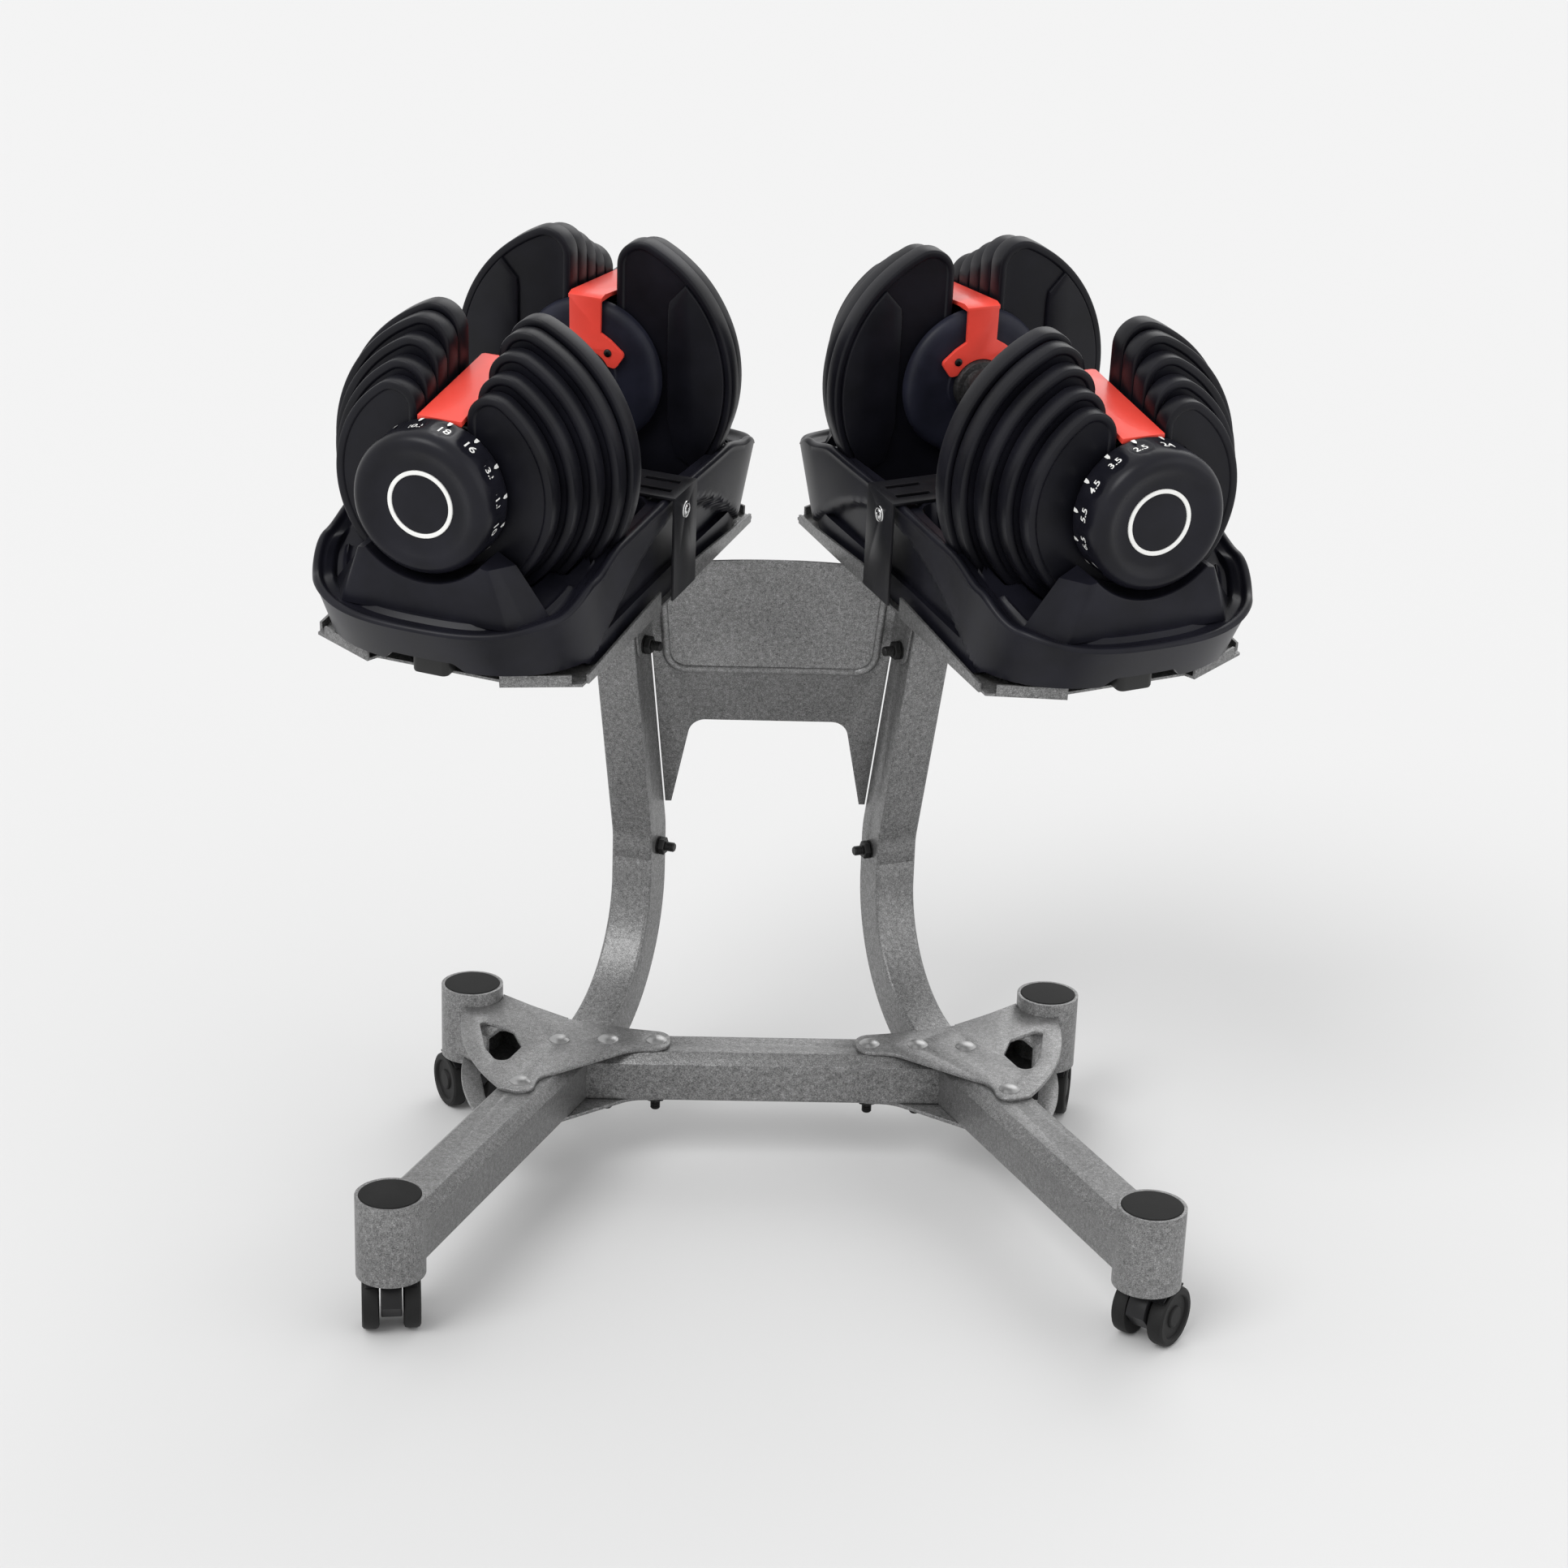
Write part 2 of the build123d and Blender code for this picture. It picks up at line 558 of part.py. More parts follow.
def lock_strap():
    """Bent steel strap over the deck and down both sides of the cradle."""
    top = RIM_HIGH + 0.3
    side = STRAP_SIDE
    outline = Polyline((-side, -AXIS_H + 6), (-side, top + STRAP_T), (side, top + STRAP_T),
                       (side, -AXIS_H + 6), (side - STRAP_T, -AXIS_H + 6),
                       (side - STRAP_T, top), (-side + STRAP_T, top),
                       (-side + STRAP_T, -AXIS_H + 6), close=True)
    strap = extrude(Plane.XZ * make_face(outline), STRAP_HALF, both=True)
    for end in (-1, 1):
        for y in (-9.0, 9.0):
            strap -= block(end * 92 - 14, end * 92 + 14, y - 2.5, y + 2.5, top - 1, top + 4)
        strap -= cyl_x(2.5, end * (side - 6), end * (side + 6), 0, STRAP_SCREW_Z)
    return strap


STRAP_SCREW_Z = -62.0


def strap_screws():
    """Pan-head screws that hold the strap to both sides of the cradle."""
    screws = []
    for end in (-1, 1):
        x = end * STRAP_SIDE
        head = cyl_x(5.5, x, x + end * 2.5, 0, STRAP_SCREW_Z)
        shank = cyl_x(2.5, x, x - end * 9.0, 0, STRAP_SCREW_Z)
        screws.append(head + shank)
    return screws


# ================================================================= dumbbell
def slot_outline(radius):
    """Plate outline: a disc with a wide top slot that leaves two rounded lobes."""
    disc = Circle(radius)
    slot = Rectangle(2 * SLOT_HALF, radius + 20, align=(Align.CENTER, Align.MIN))
    face = disc - slot - Circle(SLOT_HALF)
    lobes = face.vertices().filter_by(lambda v: v.Y > radius * 0.6)
    return fillet(lobes, min(20.0, radius * 0.22))


def plate(index, end):
    """One cast plate with a raised rim, a recessed web and its selector tab."""
    radius = PLATE_RADII[index]
    start, stop = plate_span(index)
    thick = stop - start
    face = slot_outline(radius)
    body = extrude(face, thick)
    web = Circle(radius - PLATE_RIM)
    body -= Pos(0, 0, thick - WEB_RECESS) * extrude(web, WEB_RECESS + 1)
    body -= Pos(0, 0, -1) * extrude(web, WEB_RECESS + 1)
    channel = Rectangle(2 * DISC_R + 3, radius + 20, align=(Align.CENTER, Align.MIN))
    body -= Pos(0, 0, -1) * extrude(channel, WEB_RECESS + 1)
    tab = Pos(0, -(TAB_R[0] + TAB_R[1]) / 2, WEB_RECESS - 1.2) * Box(
        12, TAB_R[1] - TAB_R[0], 1.3, align=(Align.CENTER, Align.CENTER, Align.MIN))
    body += tab
    # modelled with the inner face on XY, thickness along +Z, the slot toward +Y
    return Pos(0, end * start, 0) * outward(end) * body


def ring_sector(radii, height, middle, width):
    """Part of a flat ring on XY, centred on the direction middle, in degrees."""
    ring = Circle(radii[1]) - Circle(radii[0])
    far = radii[1] * 3
    fan = [(0, 0)]
    for step in range(5):
        angle = math.radians(middle - width / 2 + width * step / 4)
        fan.append((far * math.cos(angle), far * math.sin(angle)))
    sector = ring & make_face(Polyline(*fan, close=True))
    return extrude(sector, height)


def selector(end, parked):
    """Rotating hub with one disc and lip for each plate; parked plates have an open lip."""
    body = cyl_z(HUB_R, GRIP_HALF + FLANGE_T + 0.5, DIAL_BACK)
    for index in range(len(PLATE_RADII)):
        start = plate_span(index)[0]
        web = start + WEB_RECESS
        face = web - 1.3
        body += cyl_z(DISC_R, face - DISC_T, face)
        middle = 90 if index in parked else -90
        lip = ring_sector(LIP_R, LIP_T + 0.2, middle, 150)
        body += Pos(0, 0, face - 0.2) * lip
    body -= cyl_z(ROD_R + RUN_FIT, 0, 400)
    return outward(end) * body


def dial(end):
    """Numbered selector dial: bevelled rim, dished face, keyed on the hub."""
    body = cyl_z(DIAL_R, DIAL_BACK, DIAL_FACE)
    front = body.edges().group_by(Axis.Z)[-1]
    body = fillet(front, 6.0)
    body -= cyl_z(DIAL_R * 0.66, DIAL_FACE - 1.2, DIAL_FACE + 1)
    for step in range(15):
        angle = math.radians(90 + step * 24)
        reach = DIAL_R + 13.0
        scoop = cyl_z(14.0, DIAL_BACK + 9, DIAL_FACE - 9,
                      reach * math.cos(angle), reach * math.sin(angle))
        body -= scoop
    body -= cyl_z(ROD_R + RUN_FIT, DIAL_BACK - 1, DIAL_BACK + 22)
    return outward(end) * body


def grip():
    """Rubber-covered handle tube, fuller in the middle, with a collar at each end."""
    half = GRIP_HALF
    edge = [Line((0, -half), (GRIP_R - 1.5, -half)),
            Spline([(GRIP_R - 1.5, -half), (GRIP_R - 1.0, -half * 0.6), (GRIP_R + 1.2, 0),
                    (GRIP_R - 1.0, half * 0.6), (GRIP_R - 1.5, half)]),
            Line((GRIP_R - 1.5, half), (0, half)),
            Line((0, half), (0, -half))]
    body = revolve(make_face(edge), Axis.Y)
    for end in (-1, 1):
        body += cyl_y(GRIP_R + 4.5, end * (half - 7), end * half)
    return body - cyl_y(ROD_R, -half - 1, half + 1)


def core_rod():
    """Steel rod through the handle that carries both selectors and dials."""
    return cyl_y(ROD_R, -DIAL_BACK - 20, DIAL_BACK + 20)


def flange(end):
    """Inner end flange that guides the innermost plate."""
    body = cyl_y(FLANGE_R, end * GRIP_HALF, end * (GRIP_HALF + FLANGE_T))
    rims = body.edges().filter_by(GeomType.CIRCLE).sort_by(Axis.Y)
    body = chamfer(rims[-1 if end < 0 else 0], 3.0)
    body -= cyl_y(ROD_R, -300, 300)
    body -= cyl_z(LOCK_PIN_R + RUN_FIT, -FLANGE_R - 1, -26, 0, end * LOCK_PIN_Y)
    for x in BRIDGE_SCREWS:
        body -= cyl_y(1.7, end * (GRIP_HALF - 1), end * (GRIP_HALF + 7), x, BRIDGE_SCREW_Z)
    return body


BRIDGE_SCREWS = (-19.0, 19.0)
BRIDGE_SCREW_Z = 21.0
BRIDGE_TOP = (63.5, 50.5)      # height over the flange and at the dial
BRIDGE_HALF = (13.5, 17.0)     # half width at the flange and at the dial


def bridge(end):
    """Red bridge: two-eared foot on the flange, neck up its face, strip over the plates."""
    plane = Plane.XZ
    neck = Polyline((-12.5, 24), (-13.0, BRIDGE_TOP[0]), (13.0, BRIDGE_TOP[0]), (12.5, 24),
                    close=True)
    ears = FilletPolyline((-12.5, 36), (-21, 31), (-33, 21), (-25, 9), (0, 14), (25, 9),
                          (33, 21), (21, 31), (12.5, 36), radius=[3, 5, 4, 4, 6, 4, 4, 5, 3],
                          close=True)
    foot = make_face(neck) + make_face(ears) - Circle(GRIP_R + 5.0)
    foot = extrude(plane * foot, BRIDGE_T / 2, both=True)
    foot = Pos(0, end * (GRIP_HALF - BRIDGE_T / 2), 0) * foot
    for x in BRIDGE_SCREWS:
        foot -= cyl_y(1.7, end * (GRIP_HALF - 6), end * (GRIP_HALF + 6), x, BRIDGE_SCREW_Z)
    stop = DIAL_BACK - 1.5
    side = Polyline((end * (GRIP_HALF - BRIDGE_T), BRIDGE_TOP[0] - 3),
                    (end * (GRIP_HALF - BRIDGE_T), BRIDGE_TOP[0]),
                    (end * (GRIP_HALF + 3), BRIDGE_TOP[0] + 1.5),
                    (end * stop, BRIDGE_TOP[1] + 1.5),
                    (end * stop, BRIDGE_TOP[1] - 2.5),
                    (end * (GRIP_HALF + FLANGE_T + 2), BRIDGE_TOP[0] - 3), close=True)
    strip = extrude(Plane.YZ * make_face(side), 40, both=True)
    trim = Polyline((-BRIDGE_HALF[0], end * (GRIP_HALF - 10)), (BRIDGE_HALF[0], end * (GRIP_HALF - 10)),
                    (BRIDGE_HALF[1], end * (stop + 5)), (-BRIDGE_HALF[1], end * (stop + 5)),
                    close=True)
    strip &= extrude(make_face(trim), 200, both=True)
    return foot + strip


def bridge_screws():
    """Four small screws that hold both bridges to the flanges."""
    screws = []
    for end in (-1, 1):
        for x in BRIDGE_SCREWS:
            face = end * (GRIP_HALF - BRIDGE_T)
            head = cyl_y(3.2, face, face - end * 1.6, x, BRIDGE_SCREW_Z)
            shank = cyl_y(1.7, face, face + end * 9.0, x, BRIDGE_SCREW_Z)
            screws.append(head + shank)
    return screws


def lock_pins():
    """Spring pins in both flanges that block the dials while the dumbbell is lifted."""
    return [cyl_z(LOCK_PIN_R, -FLANGE_R + 1.5, -33, 0, end * LOCK_PIN_Y) for end in (-1, 1)]


# ================================================================= write the parts
def write_frame():
    """Base frame, columns, panel, trays and fasteners."""
    paired = {
        "front_leg": in_stand(front_leg()),
        "rear_leg": in_stand(rear_leg()),
        "top_gusset": in_stand(gusset(TUBE_TOP)),
        "bottom_gusset": in_stand(gusset(TUBE_TOP - TUBE_H - GUSSET_T)),
        "column_lower": in_stand(column_lower()),
        "column_upper": column_upper(),
        "tray": dock(-1) * tray(),
        "cradle": dock(-1) * cradle(),
        "lock_strap": dock(-1) * lock_strap(),
    }
    for height in COLUMN_BOLTS:
        bore = (column_frame() * Pos(-30, column_hole(height), height) * Rot(0, 90, 0)
                * cyl_z(BOLT_R, 0, 60))
        paired["column_upper"] -= in_stand(bore)
        paired["column_lower"] -= in_stand(bore)
    for x, y in GUSSET_BOLTS:
        bore = in_stand(cyl_z(BOLT_R, 0, 200, x, y))
        paired["front_leg"] -= bore
    for name, shape in paired.items():
        save(shape, f"{name}_left")
        save(mirrored(shape), f"{name}_right")
    beam = crossbeam()
    for x, y in GUSSET_BOLTS:
        for side in (-1, 1):
            beam -= cyl_z(BOLT_R, 0, 200, side * abs(x), y)
    save(in_stand(beam), "crossbeam")
    save(in_stand(back_panel()), "back_panel")
    save(Compound(children=frame_fasteners()), "frame_fasteners")
    caps = [in_stand(Pos(x, y, 0) * sleeve_cap()) for x, y in CASTERS.values()]
    save(Compound(children=caps), "sleeve_caps")
    hardware = [dock(side) * piece for side in (-1, 1) for piece in strap_screws()]
    save(Compound(children=hardware), "strap_screws")


def write_casters():
    """Four twin-wheel casters at their resting swivel angles."""
    for name, (x, y) in CASTERS.items():
        place = Pos(x, y + STAND_Y, 0) * Rot(0, 0, CASTER_TURN[name])
        save(place * caster_housing(), f"caster_housing_{name}")
        save(Compound(children=[place * piece for piece in caster_wheels()]),
             f"caster_wheels_{name}")


def write_dumbbells():
    """Both dumbbells; the left one is set so that its outermost plates stay docked."""
    ends = {"near": -1, "far": 1}
    for side, label, parked in ((-1, "left", (4,)), (1, "right", ())):
        place = dock(side)
        save(place * grip(), f"grip_{label}")
        save(place * core_rod(), f"core_rod_{label}")
        save(Compound(children=[place * piece for piece in bridge_screws()]),
             f"bridge_screws_{label}")
        save(Compound(children=[place * piece for piece in lock_pins()]), f"lock_pins_{label}")
        waiting = []
        for name, end in ends.items():
            save(place * flange(end), f"{name}_flange_{label}")
            save(place * bridge(end), f"{name}_bridge_{label}")
            save(place * selector(end, parked), f"{name}_selector_{label}")
            save(place * dial(end), f"{name}_dial_{label}")
            plates = [place * plate(index, end) for index in range(len(PLATE_RADII))]
            waiting += [plates[index] for index in parked]
            lifted = [item for index, item in enumerate(plates) if index not in parked]
            save(Compound(children=lifted), f"{name}_plates_{label}")
        if waiting:
            save(Compound(children=waiting), f"parked_plates_{label}")


write_frame()
write_casters()
write_dumbbells()
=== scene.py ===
"""Dial-adjustable dumbbells docked on a rolling stand: finishes and fine detail.

Metres, +Z up, the front of the stand faces -Y.
"""

import bpy
import bmesh
import json
import math
from mathutils import Matrix, Vector

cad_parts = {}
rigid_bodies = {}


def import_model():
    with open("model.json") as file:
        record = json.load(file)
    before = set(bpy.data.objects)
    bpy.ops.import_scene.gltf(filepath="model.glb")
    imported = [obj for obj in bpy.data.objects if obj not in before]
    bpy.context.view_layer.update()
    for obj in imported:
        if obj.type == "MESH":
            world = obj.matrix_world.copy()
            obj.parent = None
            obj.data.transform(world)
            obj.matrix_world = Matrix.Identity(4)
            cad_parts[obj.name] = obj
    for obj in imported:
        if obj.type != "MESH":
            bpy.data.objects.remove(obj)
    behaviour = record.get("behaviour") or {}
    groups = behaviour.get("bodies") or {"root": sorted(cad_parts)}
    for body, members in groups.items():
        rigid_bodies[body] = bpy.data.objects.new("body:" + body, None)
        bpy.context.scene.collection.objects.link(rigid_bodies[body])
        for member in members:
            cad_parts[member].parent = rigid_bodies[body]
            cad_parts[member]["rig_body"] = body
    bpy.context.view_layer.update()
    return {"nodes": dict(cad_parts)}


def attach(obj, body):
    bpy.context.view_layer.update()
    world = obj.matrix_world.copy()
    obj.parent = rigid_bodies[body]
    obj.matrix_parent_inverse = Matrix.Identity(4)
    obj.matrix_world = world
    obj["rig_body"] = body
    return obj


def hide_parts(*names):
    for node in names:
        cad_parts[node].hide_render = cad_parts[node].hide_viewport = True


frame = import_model()
NODES = frame["nodes"]
MM = 0.001

# the docks' shared local frame: X across the handle, -Y the near end, Z the lift
SPLAY = math.radians(21.7)
TILT = math.radians(8.0)
DOCK = (0.1784, 0.036875, 0.6199)
STAND_Y = -0.061425
SIDES = {"left": -1, "right": 1}
ENDS = {"near": -1, "far": 1}


# ================================================================= camera, light, floor
def aim(obj, forward, roll=0.0):
    """Point an object's -Z axis along forward and roll it about that line."""
    back = -Vector(forward).normalized()
    right = Vector((0, 0, 1)).cross(back).normalized()
    up = back.cross(right)
    turned = math.cos(roll) * right + math.sin(roll) * up
    top = math.cos(roll) * up - math.sin(roll) * right
    place = Matrix((turned, top, back)).transposed().to_4x4()
    place.translation = obj.location
    obj.matrix_world = place


def make_camera():
    """The main view: a little above, straight on, with a slight roll."""
    data = bpy.data.cameras.new("view")
    data.sensor_width = 36.0
    data.lens = 69.3
    data.clip_end = 60.0
    cam = bpy.data.objects.new("view", data)
    bpy.context.scene.collection.objects.link(cam)
    cam.location = (-0.0834, -2.1761, 1.1266)
    azimuth, elevation = math.radians(2.4), math.radians(19.9)
    aim(cam, (math.sin(azimuth) * math.cos(elevation), math.cos(azimuth) * math.cos(elevation),
              -math.sin(elevation)), math.radians(2.0))
    bpy.context.scene.camera = cam


def soft_sun(name, place, spread, strength):
    """A wide, soft, even light that shines from a place toward the middle of the object."""
    data = bpy.data.lights.new(name, "SUN")
    data.angle = math.radians(spread)
    data.energy = strength
    lamp = bpy.data.objects.new(name, data)
    bpy.context.scene.collection.objects.link(lamp)
    lamp.location = place
    bpy.context.view_layer.update()
    aim(lamp, Vector((0.0, 0.0, 0.45)) - Vector(place))


FLOOR_TONE = 0.665
SKY_TONE = 0.93


def make_stage():
    """Pale floor, pale surroundings and three soft, even lights."""
    mesh = bpy.data.meshes.new("floor")
    reach = 14.0
    mesh.from_pydata([(-reach, -reach, 0), (reach, -reach, 0), (reach, reach, 0), (-reach, reach, 0)],
                     [], [(0, 1, 2, 3)])
    floor = bpy.data.objects.new("floor", mesh)
    bpy.context.scene.collection.objects.link(floor)
    paint = Shade("floor_paint", base=(FLOOR_TONE,) * 3, roughness=1.0,
                  specular_ior_level=0.0)
    mesh.materials.append(paint.material)
    world = bpy.data.worlds.new("surroundings")
    world.use_nodes = True
    world.node_tree.nodes["Background"].inputs["Color"].default_value = (SKY_TONE, SKY_TONE, SKY_TONE, 1)
    world.node_tree.nodes["Background"].inputs["Strength"].default_value = 1.0
    bpy.context.scene.world = world
    soft_sun("key", (-1.6, -1.7, 2.9), 30.0, 1.25)
    soft_sun("fill", (2.6, -1.2, 1.3), 50.0, 0.35)
    soft_sun("rim", (0.9, 2.2, 2.3), 40.0, 0.55)
    bpy.context.scene.view_settings.view_transform = "Standard"


# ================================================================= shaders
class Sock:
    """A shader socket that adds Math nodes for ordinary arithmetic."""

    def __init__(self, tree, out):
        self.tree = tree
        self.out = out

    def _math(self, operation, first, second=None):
        node = self.tree.nodes.new("ShaderNodeMath")
        node.operation = operation
        for slot, value in enumerate((first, second)):
            if isinstance(value, Sock):
                self.tree.links.new(value.out, node.inputs[slot])
            elif value is not None:
                node.inputs[slot].default_value = value
        return Sock(self.tree, node.outputs[0])

    def __add__(self, other):
        return self._math("ADD", self, other)

    def __radd__(self, other):
        return self._math("ADD", other, self)

    def __sub__(self, other):
        return self._math("SUBTRACT", self, other)

    def __rsub__(self, other):
        return self._math("SUBTRACT", other, self)

    def __mul__(self, other):
        return self._math("MULTIPLY", self, other)

    def __rmul__(self, other):
        return self._math("MULTIPLY", other, self)

    def __truediv__(self, other):
        return self._math("DIVIDE", self, other)

    def power(self, other):
        return self._math("POWER", self, other)


class Shade:
    """One material: a Principled shader, its constants and the nodes that vary it."""

    def __init__(self, name, base, roughness=0.5, metallic=0.0, **constants):
        self.material = bpy.data.materials.new(name)
        self.material.use_nodes = True
        self.tree = self.material.node_tree
        self.bsdf = self.tree.nodes["Principled BSDF"]
        self.put("Base Color", (*base, 1.0))
        self.put("Roughness", roughness)
        self.put("Metallic", metallic)
        for key, value in constants.items():
            self.put(key.replace("_", " ").title().replace("Ior", "IOR"), value)
        self.material.diffuse_color = (*base, 1.0)

    def put(self, name, value):
        """Set or link one of the shader's own sockets."""
        if isinstance(value, Sock):
            self.tree.links.new(value.out, self.bsdf.inputs[name])
        else:
            self.bsdf.inputs[name].default_value = value

    def node(self, kind, settings=None, out=0, **sockets):
        """Add a node: settings first, then sockets by name (spaces as underscores)."""
        node = self.tree.nodes.new(kind)
        for key, value in (settings or {}).items():
            setattr(node, key, value)
        for key, value in sockets.items():
            name = key.replace("_", " ")
            target = next(s for s in node.inputs if s.name == name and s.enabled)
            if isinstance(value, Sock):
                self.tree.links.new(value.out, target)
            else:
                target.default_value = value
        return Sock(self.tree, node.outputs[out])

    def where(self):
        """Object coordinates."""
        node = self.tree.nodes.new("ShaderNodeTexCoord")
        return Sock(self.tree, node.outputs["Object"])

    def noise(self, place, scale, detail=2.0, rough=0.5):
        """A noise value between 0 and 1."""
        return self.node("ShaderNodeTexNoise", None, 0, Vector=place, Scale=scale, Detail=detail,
                         Roughness=rough)

    def ramp(self, value, stops):
        """Colour ramp through (position, grey or colour) stops."""
        node = self.tree.nodes.new("ShaderNodeValToRGB")
        marks = node.color_ramp.elements
        while len(marks) < len(stops):
            marks.new(0.5)
        for mark, (position, colour) in zip(marks, stops):
            mark.position = position
            mark.color = (*colour, 1.0)
        self.tree.links.new(value.out, node.inputs["Fac"])
        return Sock(self.tree, node.outputs["Color"])

    def bump(self, height, depth, strength=1.0):
        """Bump of a real depth in metres, linked to the shader's Normal."""
        self.put("Normal", self.node("ShaderNodeBump", None, 0, Height=height, Distance=depth,
                                     Strength=strength))


def grey(value, blue=0.0):
    """A neutral colour with a little added blue."""
    return (value, value, value + blue)


def hammered_paint():
    """Silver-grey hammered powder coat with dark flecks and fine orange peel."""
    shade = Shade("hammered_silver", grey(0.20), 0.36, 0.62)
    place = shade.where()
    fine = shade.noise(place, 1150.0, 3.0, 0.62)
    blotch = shade.noise(place, 330.0, 2.0, 0.5)
    wide = shade.noise(place, 9.0, 2.0, 0.5)
    cells = shade.node("ShaderNodeTexVoronoi", {"feature": "SMOOTH_F1"}, 0, Vector=place,
                       Scale=620.0, Smoothness=0.7)
    grain = fine * 0.62 + blotch * 0.23 + wide * 0.15
    shade.put("Base Color", shade.ramp(grain, [(0.36, grey(0.075)), (0.47, grey(0.17)),
                                               (0.56, grey(0.26)), (0.68, grey(0.44))]))
    shade.put("Roughness", 0.30 + fine * 0.22)
    shade.bump(cells * 0.7 + fine * 0.3, 0.00032, 0.55)
    return shade.material


def moulded(name, base, roughness=0.42, grain=1500.0, depth=0.00006, wear=0.35, **constants):
    """Moulded polymer: slight tone drift, uneven sheen and a fine spark-eroded grain."""
    shade = Shade(name, base, roughness, 0.0, **constants)
    place = shade.where()
    drift = shade.noise(place, 26.0, 3.0, 0.55)
    fine = shade.noise(place, grain, 2.0, 0.6)
    low = tuple(channel * (1.0 - wear) for channel in base)
    high = tuple(channel * (1.0 + wear) for channel in base)
    shade.put("Base Color", shade.ramp(drift, [(0.3, low), (0.7, high)]))
    shade.put("Roughness", (roughness - 0.07) + drift * 0.09 + fine * 0.05)
    shade.bump(fine, depth, 0.6)
    return shade.material


def turned_metal(name, base, roughness, stretch=(1.0, 1.0, 1.0), metallic=1.0):
    """Machined or plated metal with fine directional marks."""
    shade = Shade(name, base, roughness, metallic)
    place = shade.node("ShaderNodeMapping", None, 0, Vector=shade.where(), Scale=stretch)
    marks = shade.noise(place, 900.0, 3.0, 0.6)
    shade.put("Roughness", (roughness - 0.06) + marks * 0.14)
    low = tuple(channel * 0.86 for channel in base)
    shade.put("Base Color", shade.ramp(marks, [(0.3, low), (0.7, base)]))
    shade.bump(marks, 0.00002, 0.4)
    return shade.material


def grip_rubber():
    """Handle covering with a fine diamond knurl that wraps round the handle; the knurl's grooves are
    painted darker than its raised cells as painted shade.
    """
    shade = Shade("grip_rubber", grey(0.012, 0.002), 0.55)
    place = shade.where()
    cells = shade.node("ShaderNodeTexVoronoi", {"feature": "F1"}, 0, Vector=place, Scale=420.0)
    fine = shade.noise(place, 1700.0, 2.0, 0.5)
    # painted shade: the colour goes from lighter on the raised cell middles to darker in the grooves
    # between them, following the same depth as the bump
    shade.put("Base Color", shade.ramp(cells, [(0.1, grey(0.018, 0.002)), (0.7, grey(0.007))]))
    shade.put("Roughness", 0.5 + fine * 0.16)
    shade.bump(1.0 - cells, 0.00045, 0.8)
    return shade.material


SILVER = hammered_paint()
CRADLE = moulded("cradle_polymer", (0.0080, 0.0080, 0.0125), 0.36, 1300.0, 0.00007,
                 specular_ior_level=0.20)
PLATE = moulded("plate_shell", (0.0055, 0.0055, 0.0085), 0.38, 1600.0, 0.00005,
                specular_ior_level=0.22)
DIAL = moulded("dial_polymer", (0.0070, 0.0070, 0.0110), 0.33, 1800.0, 0.00004,
               specular_ior_level=0.22)
FLANGE = moulded("flange_polymer", (0.014, 0.015, 0.026), 0.44, 1500.0, 0.00005,
                 specular_ior_level=0.22)
RED = moulded("bridge_red", (0.86, 0.068, 0.046), 0.38, 1700.0, 0.00003, 0.06, coat_weight=0.15)
MARKING = moulded("marking_white", (0.86, 0.86, 0.84), 0.5, 1500.0, 0.00001, 0.04)
STRAP = moulded("strap_paint", (0.010, 0.010, 0.012), 0.40, 900.0, 0.00008,
                specular_ior_level=0.26)
CAP = moulded("cap_polymer", grey(0.011), 0.60, 1200.0, 0.0001,
              specular_ior_level=0.12)
CASTER = moulded("caster_polymer", grey(0.011, 0.001), 0.38, 1500.0, 0.00005,
                 specular_ior_level=0.26)
TREAD = moulded("caster_tread", grey(0.008), 0.58, 700.0, 0.0001,
                specular_ior_level=0.26)
FOOT = moulded("foot_rubber", grey(0.006), 0.5, 900.0, 0.0001)
GRIP = grip_rubber()
DARK = turned_metal("black_steel", grey(0.035), 0.42)
CHROME = turned_metal("chrome", grey(0.70), 0.17)
ZINC = turned_metal("silver_bolt", grey(0.40), 0.38)
NUT = turned_metal("black_nut", grey(0.022), 0.42, metallic=0.6)


# ================================================================= mesh helpers
def dock(side):
    """Local frame of one dumbbell and its cradle."""
    return (Matrix.Translation((side * DOCK[0], DOCK[1], DOCK[2]))
            @ Matrix.Rotation(TILT, 4, "X") @ Matrix.Rotation(side * SPLAY, 4, "Z"))


def mesh_object(name, bm, material, angle=32.0, outward=True):
    """Finish a bmesh as an object at the origin, smooth except at sharp edges."""
    bmesh.ops.remove_doubles(bm, verts=bm.verts, dist=1e-6)
    if outward:
        bmesh.ops.recalc_face_normals(bm, faces=bm.faces)
    mesh = bpy.data.meshes.new(name)
    bm.to_mesh(mesh)
    bm.free()
    mesh.polygons.foreach_set("use_smooth", [True] * len(mesh.polygons))
    mesh.set_sharp_from_angle(angle=math.radians(angle))
    mesh.materials.append(material)
    obj = bpy.data.objects.new(name, mesh)
    bpy.context.scene.collection.objects.link(obj)
    return obj


def bake(obj):
    """Apply the live modifiers of a piece to its mesh."""
    graph = bpy.context.evaluated_depsgraph_get()
    graph.update()
    done = bpy.data.meshes.new_from_object(obj.evaluated_get(graph))
    obj.modifiers.clear()
    obj.data = done
    return obj


def fit(obj, body, slot_name, *nodes):
    """A finished piece rides on its body and stands for its CAD nodes."""
    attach(obj, body)
    if nodes:
        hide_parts(*nodes)
    return obj


def node_body(node):
    """Name of the body that a CAD node belongs to."""
    return NODES[node]["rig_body"]


